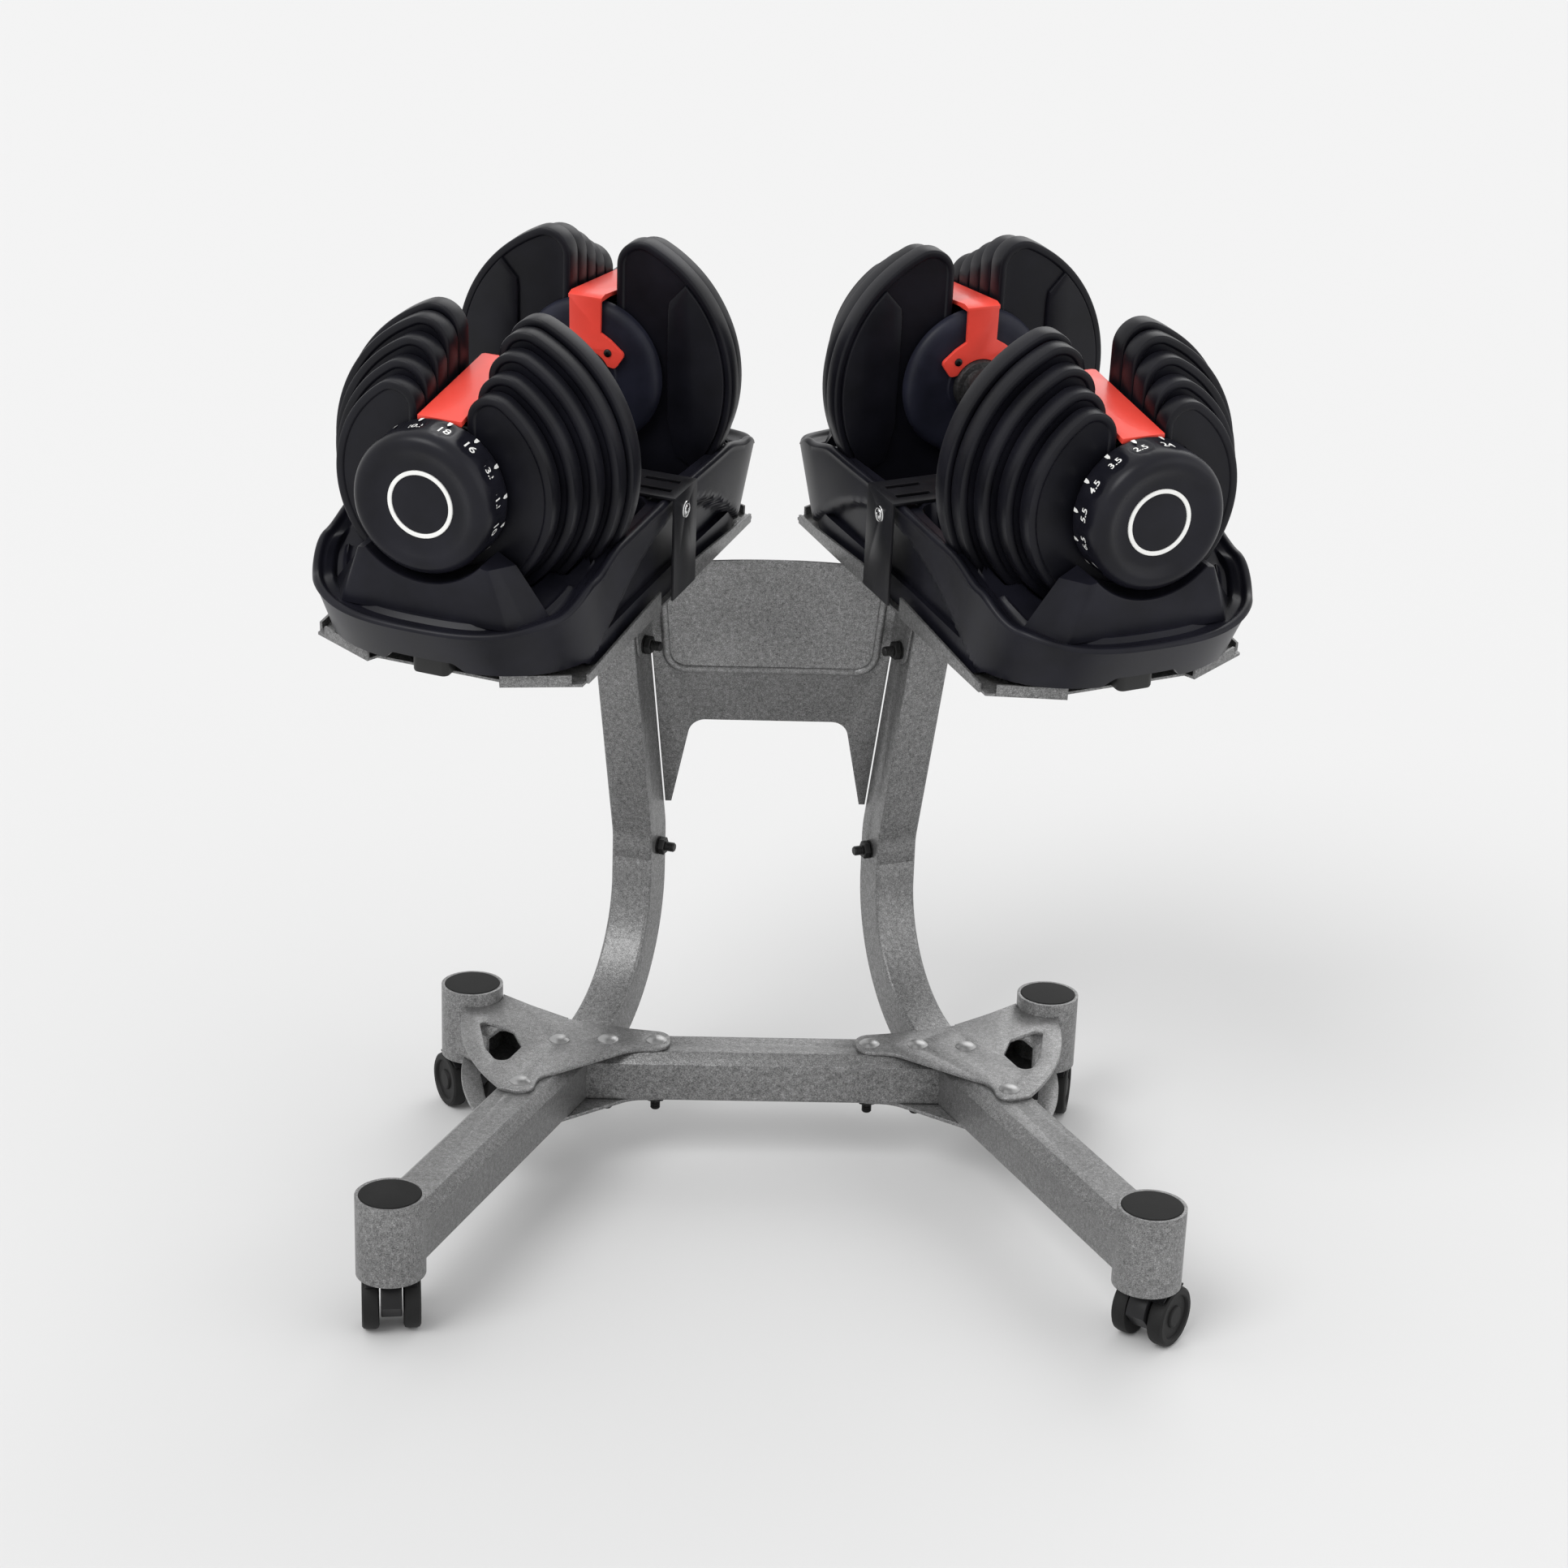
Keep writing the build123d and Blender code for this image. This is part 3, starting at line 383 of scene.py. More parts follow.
def softened(node, material, slot_name, width=0.7, angle=28.0, segments=2):
    """A CAD node's own shape with its sharp edges broken."""
    bm = bmesh.new()
    bm.from_mesh(NODES[node].data)
    bmesh.ops.remove_doubles(bm, verts=bm.verts, dist=2e-6)
    bmesh.ops.dissolve_limit(bm, angle_limit=math.radians(0.6), verts=bm.verts, edges=bm.edges)
    obj = mesh_object(node + "_finish", bm, material, 30.0, False)
    bevel = obj.modifiers.new("broken_edges", "BEVEL")
    bevel.width = width * MM
    bevel.segments = segments
    bevel.limit_method = "ANGLE"
    bevel.angle_limit = math.radians(angle)
    bevel.use_clamp_overlap = True
    bevel.harden_normals = False
    bake(obj)
    obj.data.set_sharp_from_angle(angle=math.radians(38))
    return fit(obj, node_body(node), slot_name, node)


def lathe(bm, profile, turns=96, place=Matrix(), close=True):
    """Revolve (radius, distance) points in millimetres about the local Y axis."""
    rings = []
    for radius, along in profile:
        if radius < 1e-6:
            rings.append([bm.verts.new(place @ Vector((0, along * MM, 0)))])
            continue
        rings.append([bm.verts.new(place @ Vector((radius * MM * math.sin(t * math.tau / turns),
                                                   along * MM,
                                                   radius * MM * math.cos(t * math.tau / turns))))
                      for t in range(turns)])
    pairs = list(zip(rings, rings[1:]))
    if close and len(rings[0]) > 1 and len(rings[-1]) > 1:
        pairs.append((rings[-1], rings[0]))
    for low, high in pairs:
        for t in range(turns):
            u = (t + 1) % turns
            corners = [low[t % len(low)], low[u % len(low)], high[u % len(high)], high[t % len(high)]]
            corners = list(dict.fromkeys(corners))
            if len(corners) > 2:
                bm.faces.new(corners)


def rings_solid(bm, outline, normals, profile, place):
    """Close a solid from a flat outline and (inset, height) steps from bottom to top."""
    loops = []
    for inset, height in profile:
        loops.append([bm.verts.new(place @ (Vector((x - nx * inset, y - ny * inset, height)) * MM))
                      for (x, y), (nx, ny) in zip(outline, normals)])
    count = len(outline)
    for low, high in zip(loops, loops[1:]):
        for i in range(count):
            j = (i + 1) % count
            bm.faces.new((low[i], low[j], high[j], high[i]))
    bm.faces.new(list(reversed(loops[0])))
    bm.faces.new(loops[-1])


def outline_normals(points):
    """Outward normals of a closed anticlockwise outline."""
    count = len(points)
    normals = []
    for i in range(count):
        ax, ay = points[i - 1]
        bx, by = points[(i + 1) % count]
        tx, ty = bx - ax, by - ay
        size = math.hypot(tx, ty) or 1.0
        normals.append((ty / size, -tx / size))
    return normals


def arc(centre, radius, start, stop, steps):
    """Points along an arc, angles in degrees."""
    return [(centre[0] + radius * math.cos(math.radians(start + (stop - start) * i / steps)),
             centre[1] + radius * math.sin(math.radians(start + (stop - start) * i / steps)))
            for i in range(steps + 1)]


def smooth(low, high, value):
    """Smooth step from 0 at low to 1 at high."""
    t = min(max((value - low) / (high - low), 0.0), 1.0)
    return t * t * (3 - 2 * t)


def through(table, value):
    """Smooth interpolation through (position, value) pairs."""
    for (x0, y0), (x1, y1) in zip(table, table[1:]):
        if value <= x1:
            return y0 + (y1 - y0) * smooth(x0, x1, value)
    return table[-1][1]


# ================================================================= repeated hardware
def scatter(name, item, frames, material, body, slot_name, *nodes):
    """Copies of one item at many frames, made by Geometry Nodes and turned to a plain mesh."""
    mesh = bpy.data.meshes.new(name)
    mesh.from_pydata([place.translation for place in frames], [], [])
    turn = mesh.attributes.new("turn", "QUATERNION", "POINT")
    for index, place in enumerate(frames):
        turn.data[index].value = place.to_quaternion()
    obj = bpy.data.objects.new(name, mesh)
    bpy.context.scene.collection.objects.link(obj)
    tree = bpy.data.node_groups.new(name + "_tree", "GeometryNodeTree")
    face = tree.interface
    face.new_socket("Geometry", in_out="INPUT", socket_type="NodeSocketGeometry")
    item_in = face.new_socket("Item", in_out="INPUT", socket_type="NodeSocketObject")
    size_in = face.new_socket("Size", in_out="INPUT", socket_type="NodeSocketFloat")
    paint_in = face.new_socket("Finish", in_out="INPUT", socket_type="NodeSocketMaterial")
    face.new_socket("Geometry", in_out="OUTPUT", socket_type="NodeSocketGeometry")
    start = tree.nodes.new("NodeGroupInput")
    stop = tree.nodes.new("NodeGroupOutput")
    info = tree.nodes.new("GeometryNodeObjectInfo")
    turns = tree.nodes.new("GeometryNodeInputNamedAttribute")
    turns.data_type = "QUATERNION"
    turns.inputs["Name"].default_value = "turn"
    copies = tree.nodes.new("GeometryNodeInstanceOnPoints")
    real = tree.nodes.new("GeometryNodeRealizeInstances")
    paint = tree.nodes.new("GeometryNodeSetMaterial")
    link = tree.links.new
    link(start.outputs["Geometry"], copies.inputs["Points"])
    link(start.outputs["Item"], info.inputs["Object"])
    link(info.outputs["Geometry"], copies.inputs["Instance"])
    link(turns.outputs["Attribute"], copies.inputs["Rotation"])
    link(start.outputs["Size"], copies.inputs["Scale"])
    link(copies.outputs["Instances"], real.inputs["Geometry"])
    link(real.outputs["Geometry"], paint.inputs["Geometry"])
    link(start.outputs["Finish"], paint.inputs["Material"])
    link(paint.outputs["Geometry"], stop.inputs["Geometry"])
    modifier = obj.modifiers.new("copies", "NODES")
    modifier.node_group = tree
    modifier[item_in.identifier] = item
    modifier[size_in.identifier] = 1.0
    modifier[paint_in.identifier] = material
    bake(obj)
    obj.data.polygons.foreach_set("use_smooth", [True] * len(obj.data.polygons))
    obj.data.set_sharp_from_angle(angle=math.radians(35))
    bpy.data.objects.remove(item)
    return fit(obj, body, slot_name, *nodes)


def bolt_head():
    """Low domed carriage-bolt head with a thin flat skirt, standing on its local XY plane."""
    bm = bmesh.new()
    profile = [(0, 3.3), (2.2, 3.2), (4.6, 2.7), (6.6, 1.8), (7.9, 0.7), (8.3, 0.45), (8.4, 0.0),
               (0, 0.0)]
    lathe(bm, profile, 32, Matrix.Rotation(math.radians(90), 4, "X"))
    return mesh_object("bolt_head_pattern", bm, ZINC)


def nut_item(stub=8.0):
    """Chamfered hexagon nut on a washer, with the bolt's threaded stub standing out of it."""
    bm = bmesh.new()
    for radius, low, high, turns in ((7.6, 0.0, 1.2, 32),):
        lathe(bm, [(0, low), (radius, low), (radius, high), (0, high)], turns,
              Matrix.Rotation(math.radians(90), 4, "X"))
    hexagon = [(7.5 * math.cos(math.radians(60 * k + 30)), 7.5 * math.sin(math.radians(60 * k + 30)))
               for k in range(6)]
    rings_solid(bm, hexagon, [(x / 7.5, y / 7.5) for x, y in hexagon],
                [(0.9, 1.2), (0.0, 1.8), (0.0, 6.0), (0.9, 6.6)], Matrix())
    thread = [(0, 6.4)]
    for turn in range(int(stub / 1.25)):
        base = 6.4 + turn * 1.25
        thread += [(3.5, base), (4.0, base + 0.45), (4.0, base + 0.7), (3.5, base + 1.15)]
    thread += [(3.2, 6.4 + stub), (0, 6.4 + stub)]
    lathe(bm, thread, 18, Matrix.Rotation(math.radians(90), 4, "X"))
    return mesh_object("nut_pattern", bm, NUT)


GUSSET_BOLTS = ((-86.0, 104.0), (-125.0, 104.0), (-164.0, 102.0), (-191.5, 24.0))
COLUMN = 35.0
COLUMN_BACK = 103.5
COLUMN_BOLTS = ((222.0, COLUMN_BACK, 0.0), (409.0, 59.87, 2.15))


def column_frame(side):
    """Local frame of one column: -Y is forward along the splay, Z up."""
    return (Matrix.Translation((side * 0.1422, 0.1375 + STAND_Y, 0))
            @ Matrix.Rotation(side * SPLAY, 4, "Z"))


def frame_bolts():
    """Carriage bolts and nuts of the joint plates and the columns."""
    heads, nuts = [], []
    flip = Matrix.Rotation(math.pi, 4, "X")
    for side in SIDES.values():
        for index, (x, y) in enumerate(GUSSET_BOLTS):
            spot = Vector((-side * x, y, 0)) * MM + Vector((0, STAND_Y, 0))
            heads.append(Matrix.Translation(spot + Vector((0, 0, 0.101))))
            nuts.append(Matrix.Translation(spot + Vector((0, 0, 0.055))) @ flip
                        @ Matrix.Rotation(index * 0.7, 4, "Z"))
        for height, back, extra in COLUMN_BOLTS:
            outer = column_frame(side) @ Matrix.Translation(
                Vector((side * COLUMN / 2, back, height)) * MM)
            heads.append(outer @ Matrix.Rotation(side * math.pi / 2, 4, "Y"))
            inner = column_frame(side) @ Matrix.Translation(
                Vector((-side * (COLUMN / 2 + extra), back, height)) * MM)
            nuts.append(inner @ Matrix.Rotation(-side * math.pi / 2, 4, "Y"))
    scatter("bolt_heads", bolt_head(), heads, ZINC, "stand", "fastener_zinc")
    scatter("frame_nuts", nut_item(), nuts, NUT, "stand", "fastener_zinc", "frame_fasteners")


# ================================================================= dumbbell parts
def slot_outline(radius, slot=19.0):
    """Disc with a wide top slot and two rounded lobes, anticlockwise."""
    lobe = min(20.0, radius * 0.22)
    centre = (slot + lobe, math.sqrt((radius - lobe) ** 2 - (slot + lobe) ** 2))
    lean = math.degrees(math.atan2(centre[1], centre[0]))
    points = arc((0, 0), radius, 180 - lean, 360 + lean, 132)
    points += arc(centre, lobe, lean, 180, 14)[1:]
    points += [(slot, centre[1] * k / 5) for k in (4, 3, 2, 1)]
    points += arc((0, 0), slot, 0, -180, 20)
    points += [(-slot, centre[1] * k / 5) for k in (1, 2, 3, 4)]
    points += arc((-centre[0], centre[1]), lobe, 0, 180 - lean, 14)[:-1]
    return points


PLATE_START = 88.0
PLATE_PITCH = 17.4
PLATE_THICK = 15.9
PLATE_RADII = (115.0, 111.0, 102.0, 92.5, 83.5)


def plate_shell(bm, index, end, place):
    """One plate: rounded rim, raised border and sunken face on both sides."""
    thick = PLATE_THICK
    points = slot_outline(PLATE_RADII[index])
    normals = outline_normals(points)
    profile = [(13.0, 1.3), (8.0, 1.3), (6.6, 1.2), (5.8, 0.5), (5.2, 0.1), (4.6, 0.0),
               (2.4, 0.0), (1.2, 0.25), (0.35, 0.9), (0.0, 1.9), (0.0, thick - 1.9),
               (0.35, thick - 0.9), (1.2, thick - 0.25), (2.4, thick), (4.6, thick),
               (5.2, thick - 0.1), (5.8, thick - 0.5), (6.6, thick - 1.2), (8.0, thick - 1.3),
               (13.0, thick - 1.3)]
    turn = Matrix.Rotation(math.radians(90), 4, "X")
    if end > 0:
        turn = Matrix.Rotation(math.pi, 4, "Z") @ turn
    start = PLATE_START + index * PLATE_PITCH
    seat = place @ Matrix.Translation((0, end * start * MM, 0)) @ turn
    rings_solid(bm, points, normals, profile, seat)


def side_cheek(bm, end, place):
    """Raised cheeks on the inner face of the innermost plate, left and right of the flange."""
    turn = Matrix.Rotation(math.radians(90), 4, "X")
    if end > 0:
        turn = Matrix.Rotation(math.pi, 4, "Z") @ turn
    for hand in (-1, 1):
        rim = arc((0, 0), 109.0, -38, 46, 24)
        points = rim + [(63.0, 64.0), (62.0, 56.0), (62.0, 20.0), (63.0, -30.0), (70.0, -58.0)]
        if hand < 0:
            points = [(-x, y) for x, y in reversed(points)]
        seat = place @ Matrix.Translation((0, end * (PLATE_START - 1.7) * MM, 0)) @ turn
        rings_solid(bm, points, outline_normals(points),
                    [(0.0, 2.6), (0.0, 1.2), (0.4, 0.4), (1.4, 0.0)], seat)


def make_plates():
    """All plates of both dumbbells, grouped by the body that carries them."""
    for label, side in SIDES.items():
        parked = (4,) if label == "left" else ()
        waiting = bmesh.new()
        for end_name, end in ENDS.items():
            bm = bmesh.new()
            for index in range(len(PLATE_RADII)):
                plate_shell(waiting if index in parked else bm, index, end, dock(side))
            side_cheek(bm, end, dock(side))
            stack = mesh_object(f"{end_name}_plate_stack_{label}", bm, PLATE, 30.0)
            fit(stack, f"dumbbell_{label}", "plate_coating", f"{end_name}_plates_{label}")
        if parked:
            left = mesh_object(f"waiting_plates_{label}", waiting, PLATE, 30.0)
            fit(left, "stand", "plate_coating", f"parked_plates_{label}")
        else:
            waiting.free()


DIAL_R = 52.5
DIAL_PROFILE = ((30.0, 177.2), (48.5, 177.2), (51.0, 177.7), (52.3, 179.4), (52.5, 181.5),
                (52.5, 184.0), (52.5, 187.0), (52.5, 190.0), (52.5, 193.0), (52.5, 196.0),
                (52.5, 199.0), (52.4, 202.0), (52.1, 204.6), (51.4, 207.0), (50.2, 209.4),
                (48.2, 211.5), (45.6, 212.7), (42.8, 213.0), (40.4, 212.6), (38.0, 211.4),
                (35.0, 209.9), (31.5, 208.9), (27.5, 208.5), (25.3, 208.5), (24.9, 208.0),
                (21.5, 208.0), (21.1, 208.5), (20.0, 208.7), (10.0, 208.8), (0.0, 208.8))
MASSES = ("2.5", "3.5", "4.5", "5.5", "6.5", "8", "9", "10", "11.5", "13.5", "16", "18", "20.5",
          "22.5", "24")
STEP = 24.0


def dial_angle(position, chosen):
    """Clockwise angle from the top, in degrees, of one marked position."""
    return 12.0 + (chosen - position) * STEP


def dial_surface(radius, along, angle, chosen):
    """Radius at a point of the dial's skirt, sunk in an oval at each number."""
    if radius < 50 or not 183.0 < along < 206.5:
        return radius
    offset = (angle - 12.0 - chosen * STEP + 12.0) % STEP - 12.0
    across = math.radians(offset) * DIAL_R / 8.2
    length = (along - 192.0) / 10.5
    hollow = max(0.0, 1.0 - across * across - length * length)
    return radius - 1.5 * math.sqrt(hollow)


def dial_body(place, end, chosen):
    """Dial with a rounded nose, dished face and a sunken oval at every number."""
    bm = bmesh.new()
    turns = 240
    rings = []
    for radius, along in DIAL_PROFILE:
        if radius == 0:
            rings.append([bm.verts.new(place @ Vector((0, end * along * MM, 0)))])
            continue
        ring = []
        for t in range(turns):
            angle = 360.0 * t / turns
            reach = dial_surface(radius, along, angle, chosen) * MM
            across = math.sin(math.radians(angle)) * -end
            ring.append(bm.verts.new(place @ Vector((across * reach, end * along * MM,
                                                     math.cos(math.radians(angle)) * reach))))
        rings.append(ring)
    for low, high in zip(rings, rings[1:]):
        for t in range(turns):
            u = (t + 1) % turns
            corners = list(dict.fromkeys([low[t], low[u], high[u % len(high)], high[t % len(high)]]))
            bm.faces.new(corners)
    bm.faces.new(rings[0])
    return bm


def wrapped_text(bm, words, size, angle, along, radius, end, place):
    """Figures laid on the dial's skirt, tops toward the plates."""
    curve = bpy.data.curves.new("figures", "FONT")
    curve.body = words
    curve.size = size
    curve.align_x = "CENTER"
    curve.align_y = "CENTER"
    curve.resolution_u = 3
    curve.offset = 0.00012
    holder = bpy.data.objects.new("figures", curve)
    bpy.context.scene.collection.objects.link(holder)
    bpy.context.view_layer.update()
    graph = bpy.context.evaluated_depsgraph_get()
    flat = bpy.data.meshes.new_from_object(holder.evaluated_get(graph))
    bpy.data.objects.remove(holder)
    verts = []
    for vertex in flat.vertices:
        turn = math.radians(angle) + vertex.co.x / (DIAL_R * MM)
        spot = Vector((-end * math.sin(turn) * radius * MM, end * (along * MM - vertex.co.y),
                       math.cos(turn) * radius * MM))
        verts.append(bm.verts.new(place @ spot))
    for polygon in flat.polygons:
        bm.faces.new([verts[i] for i in polygon.vertices])
    bpy.data.meshes.remove(flat)


def white_marks(place, end, chosen):
    """Ring on the face, figures and small pointers round the skirt."""
    bm = bmesh.new()
    lathe(bm, [(24.75, end * 207.9), (24.75, end * 209.0), (24.3, end * 209.35),
               (22.1, end * 209.35), (21.65, end * 209.0), (21.65, end * 207.9)], 120, place)
    bmesh.ops.recalc_face_normals(bm, faces=bm.faces)
    for position, words in enumerate(MASSES):
        angle = dial_angle(position, chosen)
        size = 0.0112 if len(words) < 3 else 0.0092
        wrapped_text(bm, words, size, angle, 192.0, 51.35, end, place)
        tip = math.radians(angle)
        half = 1.5 / DIAL_R
        corners = []
        for turn, along in ((tip - half, 179.8), (tip + half, 179.8), (tip + half * 0.8, 184.0),
                            (tip, 186.2), (tip - half * 0.8, 184.0)):
            corners.append(bm.verts.new(place @ Vector((-end * math.sin(turn) * 52.66 * MM,
                                                        end * along * MM,
                                                        math.cos(turn) * 52.66 * MM))))
        bm.faces.new(corners if end < 0 else list(reversed(corners)))
    return bm


def outward_marks(bm, place):
    """Turn flat marks so that they face away from the dial's axis."""
    for face in bm.faces:
        local = place.inverted() @ face.calc_center_median()
        radial = place.to_3x3() @ Vector((local.x, 0, local.z))
        if abs(local.x) + abs(local.z) > 0.045 and face.normal.dot(radial) < 0:
            face.normal_flip()


def make_dials():
    """Four dials with their white marks."""
    for label, side in SIDES.items():
        chosen = 11 if label == "left" else 14
        for end_name, end in ENDS.items():
            place = dock(side)
            bm = dial_body(place, end, chosen)
            dial = mesh_object(f"{end_name}_dial_shell_{label}", bm, DIAL, 40.0)
            fit(dial, f"{end_name}_dial_set_{label}", "dial_plastic", f"{end_name}_dial_{label}")
            marks = white_marks(place, end, chosen)
            marks.normal_update()
            outward_marks(marks, place)
            white = mesh_object(f"{end_name}_dial_marks_{label}", marks, MARKING, 30.0, False)
            fit(white, f"{end_name}_dial_set_{label}", "dial_plastic")


def make_handles():
    """Knurled grips with stepped collars, and the end flanges with their rounded lip."""
    for label, side in SIDES.items():
        place = dock(side)
        bm = bmesh.new()
        profile = [(9.0, -76.0), (20.4, -76.0), (21.0, -75.2), (21.0, -71.0), (20.0, -69.4),
                   (16.2, -68.4), (15.4, -66.5), (15.3, -62.0), (15.9, -45.0), (16.9, -25.0),
                   (17.6, -8.0), (17.7, 0.0)]
        profile += [(radius, -along) for radius, along in reversed(profile[:-1])]
        lathe(bm, profile, 96, place, False)
        handle = mesh_object(f"handle_{label}", bm, GRIP, 32.0)
        fit(handle, f"dumbbell_{label}", "grip_rubber", f"grip_{label}")
        for end_name, end in ENDS.items():
            bm = bmesh.new()
            face = [(9.8, 76.15), (24.0, 76.15), (25.0, 76.9), (26.0, 77.2), (44.0, 77.2),
                    (50.0, 77.5), (54.6, 78.6), (57.4, 80.4), (58.7, 83.0), (59.0, 85.9),
                    (9.8, 85.9)]
            lathe(bm, [(radius, end * along) for radius, along in face], 128, place)
            disc = mesh_object(f"{end_name}_guide_{label}", bm, FLANGE, 32.0)
            fit(disc, f"dumbbell_{label}", "flange_polymer", f"{end_name}_flange_{label}")


def cross_screw():
    """Small pan-head screw, head toward local +Z."""
    bm = bmesh.new()
    turn = Matrix.Rotation(math.radians(90), 4, "X")
    lathe(bm, [(0, 0.9), (0.9, 0.9), (1.0, 1.5), (2.2, 1.3), (3.0, 0.7), (3.2, 0.0), (0, 0.0)], 24,
          turn)
    return mesh_object("cross_screw_pattern", bm, DARK)


def make_bridges():
    """Red bridges with broken edges, and their screws."""
    for label, side in SIDES.items():
        frames = []
        for end_name, end in ENDS.items():
            softened(f"{end_name}_bridge_{label}", RED, "bridge_red", 0.9, 25.0, 3)
            for x in (-19.0, 19.0):
                seat = dock(side) @ Matrix.Translation(Vector((x, end * 73.0, 21.0)) * MM)
                frames.append(seat @ Matrix.Rotation(math.radians(90) * end, 4, "X"))
        scatter(f"bridge_screw_heads_{label}", cross_screw(), frames, DARK, f"dumbbell_{label}",
                "dark_steel", f"bridge_screws_{label}")


# ================================================================= cradle
CRADLE_LOW = -133.8
CRADLE_RISE = 86.8
WALL_FOOT = (201.0, 104.0)      # half length and half width of the cradle at its foot
WALL_SPREAD = (50.0, 4.8)       # how far each grows by the top of the wall
SADDLE_FRONT = 207.5
SADDLE_SEAT = 59.0
RIM_TABLE = ((0, -48.0), (105, -50.0), (150, -60.0), (192, -76.0), (232, -84.0))


def boat_point(turn, half_y, half_x):
    """Point of the boat-shaped outline: straight sides, full rounded ends."""
    straight = half_y * 0.56
    power = 2.0 / 2.526
    c, s = math.cos(turn), math.sin(turn)
    x = math.copysign(abs(c) ** power, c) * half_x
    y = math.copysign(abs(s) ** power, s) * (half_y - straight)
    return x, y


def boat_outline(half_y, half_x, count=80):
    """Closed outline: four rounded quarters joined by straight sides, anticlockwise."""
    straight = half_y * 0.56
    points = []
    for quarter in range(4):
        for k in range(count):
            turn = math.pi / 2 * (quarter + k / count)
            x, y = boat_point(turn, half_y, half_x)
            y += straight if quarter < 2 else -straight
            points.append((x, y))
            if quarter in (1, 3) and k == count - 1:
                sign = -1 if quarter == 1 else 1
                for step in range(40):
                    run = straight * (1 - step / 20)
                    points.append((sign * half_x, -sign * run))
    return points


def rim_height(y):
    """Height of the rim above the handle axis, at a distance along the cradle."""
    return through(RIM_TABLE, abs(y))


def wall_outline(height):
    """The leaning wall's outline at one height."""
    rise = (height - CRADLE_LOW) / CRADLE_RISE
    return boat_outline(WALL_FOOT[0] + WALL_SPREAD[0] * rise, WALL_FOOT[1] + WALL_SPREAD[1] * rise)


def skin_point(index, low, high, amount, ease):
    """Point of the outer wall between the bottom and the rim, by bisection on the rim curve."""
    x0, y0 = low[index]
    x1, y1 = high[index]
    rise = 1.0
    for _ in range(6):
        y = y0 + (y1 - y0) * rise
        rise = (rim_height(y) - CRADLE_LOW) / CRADLE_RISE
    bottom = CRADLE_LOW + ease
    top = CRADLE_LOW + rise * CRADLE_RISE
    z = bottom + (top - bottom) * amount
    part = (z - CRADLE_LOW) / CRADLE_RISE
    return x0 + (x1 - x0) * part, y0 + (y1 - y0) * part, z


def nest_height(x, y):
    """Height of the moulded interior at a point of the plan."""
    along, across = abs(y), abs(x)
    rim = rim_height(y)
    if along >= 176.0:
        return min(-83.5, rim - 3.5)
    side = min(rim - 3.5, -52.0) - 10.0 * smooth(120.0, 172.0, along)
    if along > 85.0:
        index = min(int((along - PLATE_START + 0.75) / PLATE_PITCH), 4)
        index = max(index, 0)
        radius = PLATE_RADII[index] + 1.4
        if across < radius:
            side = min(side, -math.sqrt(radius ** 2 - across ** 2))
        return side
    well = smooth(27.5, 30.5, along) * (1 - smooth(92.0, 95.0, across))
    floor = -74.0 if along < 60 else -74.0 - 24.0 * smooth(60.0, 84.0, along)
    return -48.3 + (floor + 48.3) * well


def cradle_skin(bm, place):
    """Outer wall, rolled rim and height-field interior of one cradle, as one closed shell."""
    low = wall_outline(CRADLE_LOW)
    high = wall_outline(CRADLE_LOW + CRADLE_RISE)
    count = len(low)
    loops = []

    def ring(points):
        loops.append([bm.verts.new(place @ (Vector(p) * MM)) for p in points])

    def eased(index):
        x, y = low[index]
        notch = 1.0 - smooth(22.0, 33.0, abs(x)) if abs(y) > 120 else 0.0
        lifted = 9.6 * smooth(138.0, 152.0, abs(y))
        return lifted + 8.6 * notch * smooth(150.0, 170.0, abs(y))

    inner = []
    for index in range(count):
        x, y, z = skin_point(index, low, high, 0.0, eased(index))
        size = math.hypot(x, y)
        inner.append((x - x / size * 4.0, y - y / size * 4.0, z))
    ring([(x, y, -114.0) for x, y, z in inner])
    ring(inner)
    for amount in [k / 22 for k in range(22)]:
        points = []
        for index in range(count):
            x, y, z = skin_point(index, low, high, amount, eased(index))
            arch = -66.0 - 62.0 * (abs(y) / 146.0) ** 1.9
            sunk = 1.0 - smooth(arch - 6.0, arch + 1.0, z) if abs(y) < 150 and abs(x) > 60 else 0.0
            x -= math.copysign(9.5 * sunk, x)
            points.append((x, y, z))
        ring(points)
    normals = outline_normals(high)
    for inset, drop in ((0.0, -3.4), (0.3, -1.8), (1.2, -0.6), (2.6, 0.0), (4.2, -0.1),
                        (5.6, -0.8), (6.6, -2.0), (7.6, -3.2), (9.0, -3.6)):
        points = []
        for index in range(count):
            x, y, z = skin_point(index, low, high, 1.0, eased(index))
            nx, ny = normals[index]
            points.append((x - nx * inset, y - ny * inset, rim_height(y) + drop))
        ring(points)
    edge = []
    for index in range(count):
        x, y, z = skin_point(index, low, high, 1.0, eased(index))
        nx, ny = normals[index]
        edge.append((x - nx * 9.0, y - ny * 9.0, rim_height(y) - 3.6))
    steps = 150
    for step in range(1, steps):
        shrink = 1.0 - step / steps
        points = []
        for x, y, z in edge:
            px, py = x * shrink, y * shrink
            depth = (1 - shrink) * math.hypot(x, y)
            field = nest_height(px, py)
            near = smooth(7.0, 11.0, depth)
            if abs(py) > 150:
                line = 2.6 * math.exp(-((depth - 19.0) / 2.2) ** 2)
                field += line
            points.append((px, py, z + (field - z) * near))
        ring(points)
    for lower, upper in zip(loops, loops[1:]):
        for i in range(count):
            j = (i + 1) % count
            bm.faces.new((lower[i], lower[j], upper[j], upper[i]))
    middle = bm.verts.new(place @ (Vector((0, 0, nest_height(0, 0))) * MM))
    last = loops[-1]
    for i in range(count):
        bm.faces.new((last[i], last[(i + 1) % count], middle))
    bm.faces.new(list(reversed(loops[0])))


